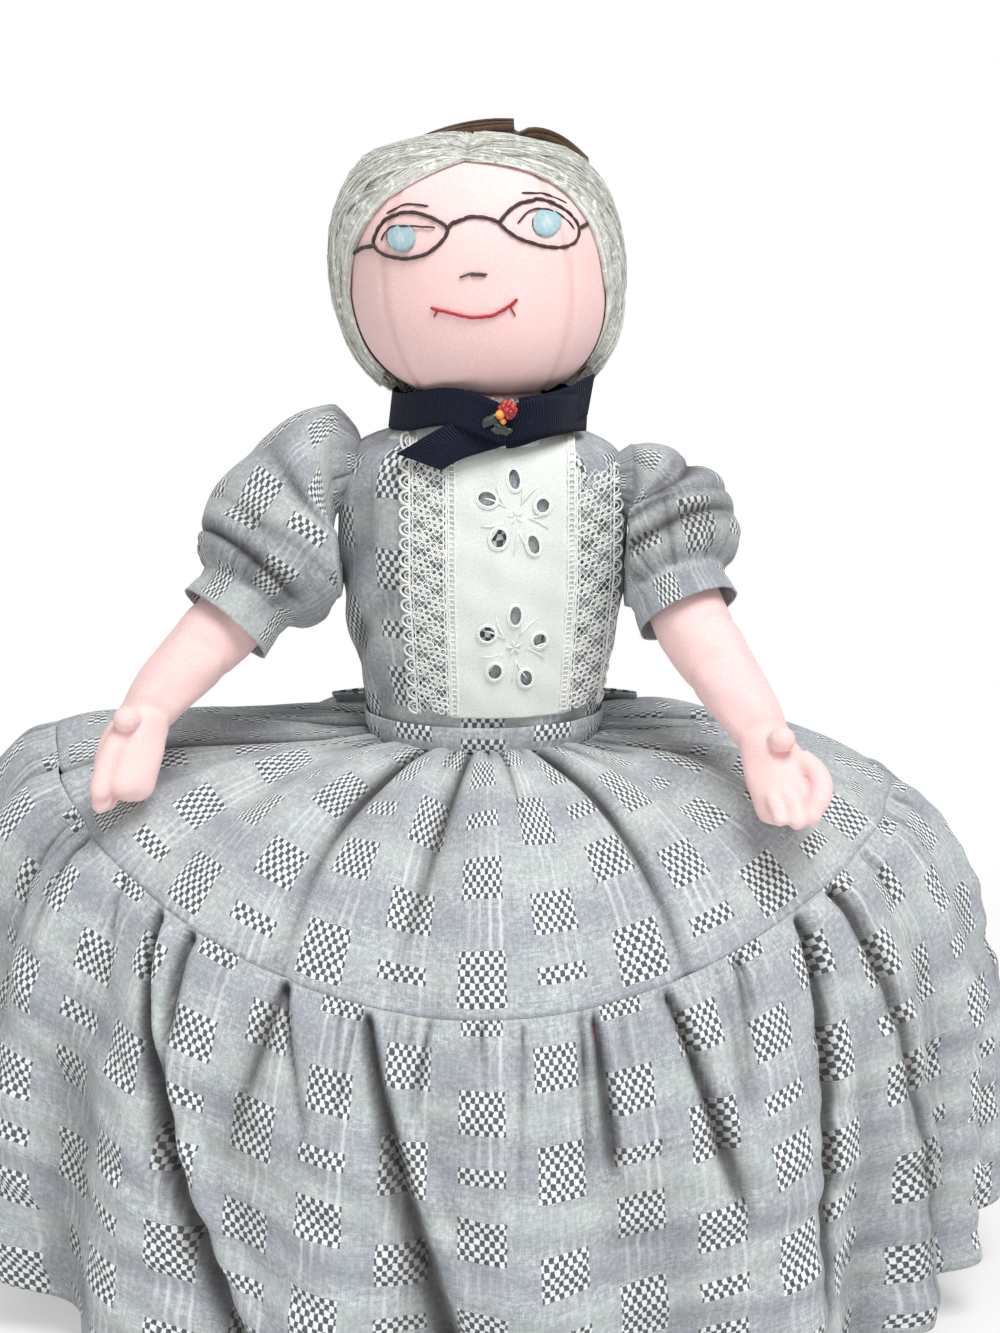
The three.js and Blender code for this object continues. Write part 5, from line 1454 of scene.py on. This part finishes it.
def arm_path(lengths, splays):
    """The arm's middle line; splays are its three parts' angles from straight down, in degrees."""
    p = [np.zeros(3)]
    for length, splay in zip(lengths, splays):
        b = math.radians(splay)
        p.append(p[-1] + length * np.array([math.sin(b), 0, -math.cos(b)]))
    return resample(spline(p, 240), len(SHARES))


def arm_turn(side, lean, height):
    """Local arm space, drawn as a left arm, to the dress's own space."""
    b = math.radians(lean)

    def turn(v):
        x, y, z = v[:, 0], v[:, 1], v[:, 2]
        y, z = y * math.cos(b) + z * math.sin(b), -y * math.sin(b) + z * math.cos(b)
        return np.stack([side * (x + PIVOT_X), y, z + height], -1)

    return turn


def mirrored(soup, side):
    if side < 0:
        soup.faces = [f[:, ::-1] for f in soup.faces]
        soup.uvs = [u.reshape(*f.shape, 2)[:, ::-1].reshape(-1, 2) for u, f in zip(soup.uvs, soup.faces)]
    return soup


def limb_net(line, run, a, half_width, half_depth):
    """Points round a line that runs down an arm."""
    across = unit(np.cross(BACK, run))
    out = (half_width * np.cos(a)[:, None])[..., None] * across[None]
    return line[None] + out + (half_depth * np.sin(a)[:, None])[..., None] * BACK


HAND_OPEN = [  # finger lines: out from the arm's middle, to the front, and on past the palm
    ([(2, 6, -4), (4.5, 7, 5), (5.6, 7.2, 13), (5.4, 7, 20), (4.8, 6.5, 24)], 3.5),
    ([(2, 2, -4), (4.4, 2.5, 5), (5.4, 2.8, 15), (5.0, 3, 23), (4.4, 3.2, 27)], 3.3),
    ([(1, -2, -4), (3.4, -2, 5), (4.4, -1.6, 15), (4.0, -1.4, 22), (3.6, -1, 25)], 3.2),
    ([(0, -6, -4), (2, -6, 4), (2.8, -5.8, 12), (2.6, -5.6, 18), (2.4, -5.4, 20)], 2.9),
]
HAND_CURLED = [
    ([(8.0, 3, -4), (10.6, 6.5, 2), (10.6, 9.5, 8), (8.0, 11, 13), (4.6, 10.4, 16.5)], 3.5),
    ([(4.5, 4, 5), (5.6, 8.0, 12), (4.6, 10.4, 16.5), (2.4, 10.4, 19.5)], 3.2),
    ([(0, 4, 5), (0.6, 8.0, 12.5), (-0.4, 10.2, 17), (-2.2, 10, 19.8)], 3.0),
    ([(-5, 3.5, 4), (-4.8, 7, 11), (-5.2, 9, 15), (-5.8, 8.8, 17.5)], 2.7),
]


HOLLOW_SHADE = 3.5  # how strongly painted shade darkens a hollow


def paint_crease_shade(obj):
    """Paints shade into a remeshed skin where it is hollow: the cloth is darkened there."""
    me = obj.data
    co, normal = np.empty(len(me.vertices) * 3), np.empty(len(me.vertices) * 3)
    me.vertices.foreach_get("co", co)
    me.vertices.foreach_get("normal", normal)
    co, normal = co.reshape(-1, 3), normal.reshape(-1, 3)
    ends = np.empty(len(me.edges) * 2, np.int32)
    me.edges.foreach_get("vertices", ends)
    i, j = ends.reshape(-1, 2).T
    hollow, count = np.zeros(len(co)), np.zeros(len(co))
    for a, b in ((i, j), (j, i)):
        edge = co[b] - co[a]
        np.add.at(hollow, a, (edge * normal[a]).sum(1) / np.linalg.norm(edge, axis=1))
        np.add.at(count, a, 1)
    hollow /= np.maximum(count, 1)
    for _ in range(3):
        total = np.zeros(len(co))
        np.add.at(total, i, hollow[j])
        np.add.at(total, j, hollow[i])
        hollow = 0.4 * hollow + 0.6 * total / np.maximum(count, 1)
    tint = me.attributes.get("tint") or me.attributes.new("tint", "FLOAT", "POINT")
    tint.data.foreach_set("value", np.clip(hollow * HOLLOW_SHADE, 0, 1).astype(np.float32))


def arm(name, side, turn, lengths, splays, scale, body, node, hand, knuckle, seed):
    """A stuffed arm with sewn fingers, remeshed into one skin."""
    path = arm_path(lengths, splays)
    total = sum(lengths)
    elbow, wrist = lengths[0] / total, (lengths[0] + lengths[1]) / total
    palm = wrist + (1 - wrist) * 0.45
    end = palm + 0.075
    # place along the arm, half width, half depth
    stops = [(0, 6.6, 6), (elbow * 0.3, 10.4, 10.2), (elbow * 0.75, 11.8, 11.6), (elbow, 12.4, 12.2)]
    stops += [(wrist - 0.1, 10.2, 9.8), (wrist, 9.0, 8.4)]
    stops += [(palm - 0.02, 10.8, 7.8), (palm + 0.03, 10.4, 7.6), (end, 6.0, 5.0)]
    t = np.linspace(0, end, 90)
    line = follow(t, SHARES, path)
    fine = spline(stops, 300)
    half_w, half_d = (np.interp(t, fine[:, 0], fine[:, i]) * scale for i in (1, 2))
    a = ring(48)
    s = np.broadcast_to(t[None] * total, (48, 90))
    swell = 0.3 * ripple(a[:, None], s, seed, 2, 5, 8, 0.05)
    # dents where the stuffing gives: place along the arm, depth, side of the arm
    dents = [(elbow + 0.05, 1.0, 2.6), (wrist - 0.02, 1.0, 0.4)]
    dents += [(wrist + 0.03, 0.6, 3.4), (elbow + 0.13, 0.7, 0.2)]
    for at, deepness, where in dents:
        wavy = at + 0.012 * np.sin(2 * a + where)
        facing = 0.3 + 0.7 * smooth(0.5 + 0.7 * np.cos(a + where))
        swell -= scale * deepness * bell(t[None] - wavy[:, None], 0.011) * facing[:, None]
    run = unit(np.gradient(line, axis=0))
    points = limb_net(line, run, a, half_w[None] + swell, half_d[None] + swell)
    points[..., 0] = np.maximum(points[..., 0], 1.5)
    soup = Soup().grid(points, True, False, caps=True)
    k = int(round(knuckle * (len(SHARES) - 1)))
    base, way = path[k], unit(path[-1] - path[k])
    wide = unit(np.cross(way, BACK))
    wide = wide * np.sign(wide[0])
    for bones, r in hand:
        w, f, d = (np.array(c) * scale for c in zip(*bones))
        bone = spline(base + w[:, None] * wide - f[:, None] * BACK + d[:, None] * way, 16)
        u = np.linspace(0, 1, 16)
        radius = r * scale * np.sqrt(np.clip(1 - (np.clip(u - 0.8, 0, 1) / 0.204) ** 2, 0.03, 1))
        soup.tube(bone, np.array([0.3, -1.0, 0.2]), radius, 14)
    obj = mirrored(soup, side).make(name, turn)
    settle(
        obj,
        ("REMESH", {"mode": "VOXEL", "voxel_size": 0.8 * MM}),
        ("SMOOTH", {"factor": 0.5, "iterations": 4}),
    )
    paint_crease_shade(obj)
    return place(obj, body, "skin_cotton", [node], fill=0.9)


def thumb(name, side, turn, lengths, splays, body, node):
    path = arm_path(lengths, splays)
    root = path[int(round((lengths[0] + lengths[1]) / sum(lengths) * (len(SHARES) - 1)))]
    way = unit(np.array([0.35, -0.9, -0.25]))
    u = np.linspace(0, 1, 16)
    line = root + way * (7.2 + 9.5 * u)[:, None] + np.array([0, 0, 1.2]) * (u**2)[:, None]
    tip = np.sqrt(np.clip(1 - (np.clip(u - 0.62, 0, 1) / 0.385) ** 2, 0.02, 1))
    soup = Soup().tube(line, np.array([0, 0, 1.0]), 3.9 * tip * (1 - 0.06 * np.sin(u * 9)), 20)
    place(mirrored(soup, side).make(name, turn), body, "skin_cotton", [node], fill=0.9)


# place above the hem, radius
CUFF = [(33, 28.0), (21, 26.6), (14.5, 22.6), (11.4, 16.9), (8.5, 16.6), (5, 17.0), (0, 17.4)]


def sleeve(name, side, turn, lengths, splays, puffed, scale, slot, body, node, pattern, seed, flat, drop, hem,
           dents=()):
    """A puff sleeve gathered into the armhole and again above its hem.

    puffed gives the radii near the shoulder, pattern the weave's columns round it."""
    path = arm_path(lengths, splays)
    along = SHARES * sum(lengths)
    columns = 220
    q = np.concatenate([np.linspace(-9, hem - 23, 74)[:-1], np.linspace(hem - 23, hem, 34)]) * scale
    line = follow(q, along, path)
    line[:, 0] += np.minimum(q, 0)
    shift = drop * scale * (1 - smooth(q / (30 * scale)))
    line[:, 2] += shift
    run = follow(q, along, unit(np.gradient(path, axis=0)))
    share = smooth((q / scale + 2) / 36)[:, None]
    run = unit(np.array([1.0, 0, 0]) * (1 - share) + run * share)
    stops = spline(puffed + [(hem - up, radius) for up, radius in CUFF], 500)
    radius = np.interp(q / scale, stops[:, 0], stops[:, 1]) * scale
    a = ring(columns)
    s = np.broadcast_to(q[None], (columns, len(q)))
    metric = np.broadcast_to(radius[None], s.shape)
    gather = (hem - 10.5) * scale
    fold = creases(a, s, metric, -9 * scale, 1, 26, 1.8 * scale, 24 * scale, 1.2, seed, 0.002, 0.9, 6.0)
    fold += creases(a, s, metric, gather, -1, 30, 2.4 * scale, 12 * scale, 1.4, seed + 1, 0.004)
    fold += creases(a, s, metric, gather, -1, 9, 3.4 * scale, 26 * scale, 2.0, seed + 5, 0.006, 1.0)
    fold += creases(a, s, metric, gather, 1, 30, 1.3 * scale, 11 * scale, 1.4, seed + 2)
    puff = np.sin(math.pi * np.clip((q / scale + 6) / (hem - 5), 0, 1))[None]
    swell = 1.8 * scale * puff * ripple(a[:, None], s, seed + 3, 2, 5, 9, 0.05)
    g = np.random.default_rng(seed + 4)
    for _ in range(9):
        level, middle, span = g.uniform(14, hem - 17) * scale, g.uniform(0, TAU), g.uniform(0.5, 1.2)
        gap = past(a, middle)
        bend = level + g.normal(0, 3) * gap + 2.5 * np.sin(gap * 2)
        dent = g.uniform(1.4, 3.4) * scale * bell(gap, span)
        fold -= dent[:, None] * np.exp(-(np.abs((s - bend[:, None]) / g.uniform(1.4, 2.6)) ** 1.2)) * puff
    for level, slope, deep_in, wide, middle, span in dents:
        gap = past(a, middle)
        bend = (level + slope * np.cos(a))[:, None]
        dent = deep_in * np.exp(-((gap / span) ** 4))
        fold -= dent[:, None] * np.exp(-(np.abs((s - bend) / wide) ** 1.1))
    # the cloth stays clear of the arm inside it, also in a dent
    arm_radius = np.interp(q / scale, (0, 18, 60), (7.0, 12.6, 12.6)) * scale
    clear = (arm_radius[None] + 1.2 + shift[None] * np.cos(a)[:, None]) * smooth((q / scale - 1) / 5)[None]
    full = np.maximum(radius[None] + swell + fold, clear)
    points = limb_net(line, run, a, full, full)
    wall = -9.2 + 7.0 * smooth((q / scale + 1) / 10)
    points[..., 0] = np.maximum(points[..., 0], wall[None] * scale)
    step = np.linalg.norm(np.diff(points, axis=1), axis=2).mean(0)
    cloth = np.broadcast_to(np.concatenate([[0], np.cumsum(step)])[None], s.shape)
    # painted shade: darker in the folds, and the whole sleeve 0.1 darker than the same cloth elsewhere
    tint = np.clip(-fold / 4.4 / scale, 0, 0.88) + 0.1
    soup = Soup().grid(points, True, False, cloth_uv(cloth, pattern * COLUMN, 8), tint)
    sew(mirrored(soup, side), name, turn, CLOTH, body, slot, [node], flat, "gathered")


PUFF_HIGH = [(-9, 4), (-8, 9), (-5, 14), (0, 18.5), (8, 23), (20, 26.6)]
PUFF_LOW = [(-9, 3), (-8, 6.5), (-5, 10), (0, 13.5), (8, 19.5), (20, 25.6)]
GRAN_ARM = (60, 48, 36)  # shoulder to elbow, to wrist, to finger tips
GIRL_ARM = (44, 37, 29)
GIRL_SCALE = GIRL_ARM[0] / GRAN_ARM[0]
GRAN_ARMS = {  # side, lean, splays, hand, knuckles' place, sleeve head, its drop, its hem, its dents
    "right": (-1, 30.0, (31, 38, 14), HAND_OPEN, 0.80, PUFF_HIGH, 0, 67, [(48, 3, 4.5, 1.8, -1.9, 1.3)]),
    "left": (1, 35.0, (18, 28, 16), HAND_CURLED, 0.84, PUFF_LOW, -8, 58, [(35, 4, 4.0, 2.0, -1.6, 1.5)]),
}
for way, (side, lean, splays, hand, knuckle, puff, drop, hem, dents) in GRAN_ARMS.items():
    limb = (side, arm_turn(side, lean, WAIST + PIVOT_Z), GRAN_ARM, splays)
    body = f"gran_{way}_arm"
    arm(f"gran_arm_form_{way}", *limb, 1.0, body, f"gran_arm_{way}", hand, knuckle, 201)
    thumb(f"gran_thumb_form_{way}", *limb, body, f"gran_thumb_{way}")
    sleeve(f"gran_puff_{way}", *limb, puff, 1.0, "dress_cotton", body, f"gran_sleeve_{way}", 8, 210 + side,
           (8 * COLUMN, hem + 4), drop, hem, dents)
for way, side in (("right", -1), ("left", 1)):

    def girl_turn(v, local=arm_turn(side, 0.0, PIVOT_Z)):
        return girl(local(v))

    limb = (side, girl_turn, GIRL_ARM, (140, 140, 140))
    body = f"girl_{way}_arm"
    arm(f"girl_arm_form_{way}", *limb, GIRL_SCALE, body, f"girl_arm_{way}", HAND_OPEN, 0.80, 221)
    sleeve(f"girl_puff_{way}", *limb, PUFF_LOW, GIRL_SCALE, "calico", body, f"girl_sleeve_{way}", 6,
           230 + side, (6 * COLUMN, 50), 8, 62.7)


def collar():
    """Lies out over the girl's shoulders."""
    a, t = ring(200), np.linspace(0, 1, 14)[None]
    wave = np.cos(20 * a + 0.5 * np.sin(3 * a))[:, None] * t**1.3
    r = 27.6 + 9.2 * t + 0.5 * wave
    points = rings(a, r, r - 3.6, 107.6 - 3.4 * t**1.6 + 0.9 * wave)
    rests = ["girl_bodice_cloth"]
    frill("girl_collar_frill", girl, 0.4, ["girl_collar"], (205, 10.5), points, wave, 0.4, rests, True)


collar()

# Studio: pale floor, soft light, camera as the photograph

FLOOR = 2500.0  # half its width, mm
AMBIENT = 0.35
LAMPS = (("key", (0.4, -0.8, 1.8), 0.8, 29.0), ("fill", (-0.5, -1.6, 1.0), 1.2, 5.0))  # place, size, watts
LAMPS_AIM = (0, 0, 0.2)
CAMERA, CAMERA_AIM, LENS = (0.0056, -0.822, 0.4345), (0.0056, 0, 0.2181), 67.3


def floor():
    corners = np.array([[(x, y, 0.0) for y in (-FLOOR, FLOOR)] for x in (-FLOOR, FLOOR)])
    obj = Soup().grid(corners).make("floor")
    m = Shade("floor_pale")
    speck = m.noise(m.local, 8.0, 2.0)
    color = m.mix(m.ramp(speck, 0.3, 0.7), rgb(250, 250, 250), rgb(246, 246, 246))
    obj.data.materials.append(m.done(color, 0.9))
    # away from the doll the camera sees it white
    far = m.node("VectorMath", {0: m.local}, "Value", operation="LENGTH")
    seen = m.mul(m.node("LightPath", {}, "Is Camera Ray"), m.ramp(far, 0.16, 0.5, 0.45, 1.0))
    white = m.node("Emission", {"Color": (1, 1, 1, 1), "Strength": 1.0})
    m.put(m.node("MixShader", {0: seen, 1: m.bsdf.outputs[0], 2: white}), m.out.inputs[0])


def sky():
    """Soft light from all round, seen as white by the camera and in reflections."""
    world = bpy.data.worlds.new("studio")
    scene.world = world
    world.use_nodes = True
    tree = world.node_tree
    tree.nodes.clear()
    kinds = ("OutputWorld", "MixShader", "LightPath", "Math", "Background", "Background")
    out, mix, ray, both, light, back = (tree.nodes.new("ShaderNode" + kind) for kind in kinds)
    both.operation = "MAXIMUM"
    for node, strength in ((light, AMBIENT), (back, 1.0)):
        node.inputs[0].default_value = (1, 1, 1, 1)
        node.inputs[1].default_value = strength
    for start, end in (
        (ray.outputs["Is Camera Ray"], both.inputs[0]),
        (ray.outputs["Is Glossy Ray"], both.inputs[1]),
        (both.outputs[0], mix.inputs[0]),
        (light.outputs[0], mix.inputs[1]),
        (back.outputs[0], mix.inputs[2]),
        (mix.outputs[0], out.inputs[0]),
    ):
        tree.links.new(start, end)


def aimed(name, data, at, aim):
    """A lamp or camera at a place, looking at another."""
    obj = bpy.data.objects.new(name, data)
    obj.location = at
    obj.rotation_euler = (Vector(aim) - Vector(at)).to_track_quat("-Z", "Y").to_euler()
    scene.collection.objects.link(obj)
    return obj


def studio():
    floor()
    sky()
    for name, at, size, power in LAMPS:
        lamp = bpy.data.lights.new(name, "AREA")
        lamp.size = size
        lamp.energy = power
        aimed(name, lamp, at, LAMPS_AIM)
    data = bpy.data.cameras.new("camera")
    data.sensor_width = 36
    data.lens = LENS
    scene.camera = aimed("camera", data, CAMERA, CAMERA_AIM)
    scene.view_settings.view_transform = "Standard"


studio()
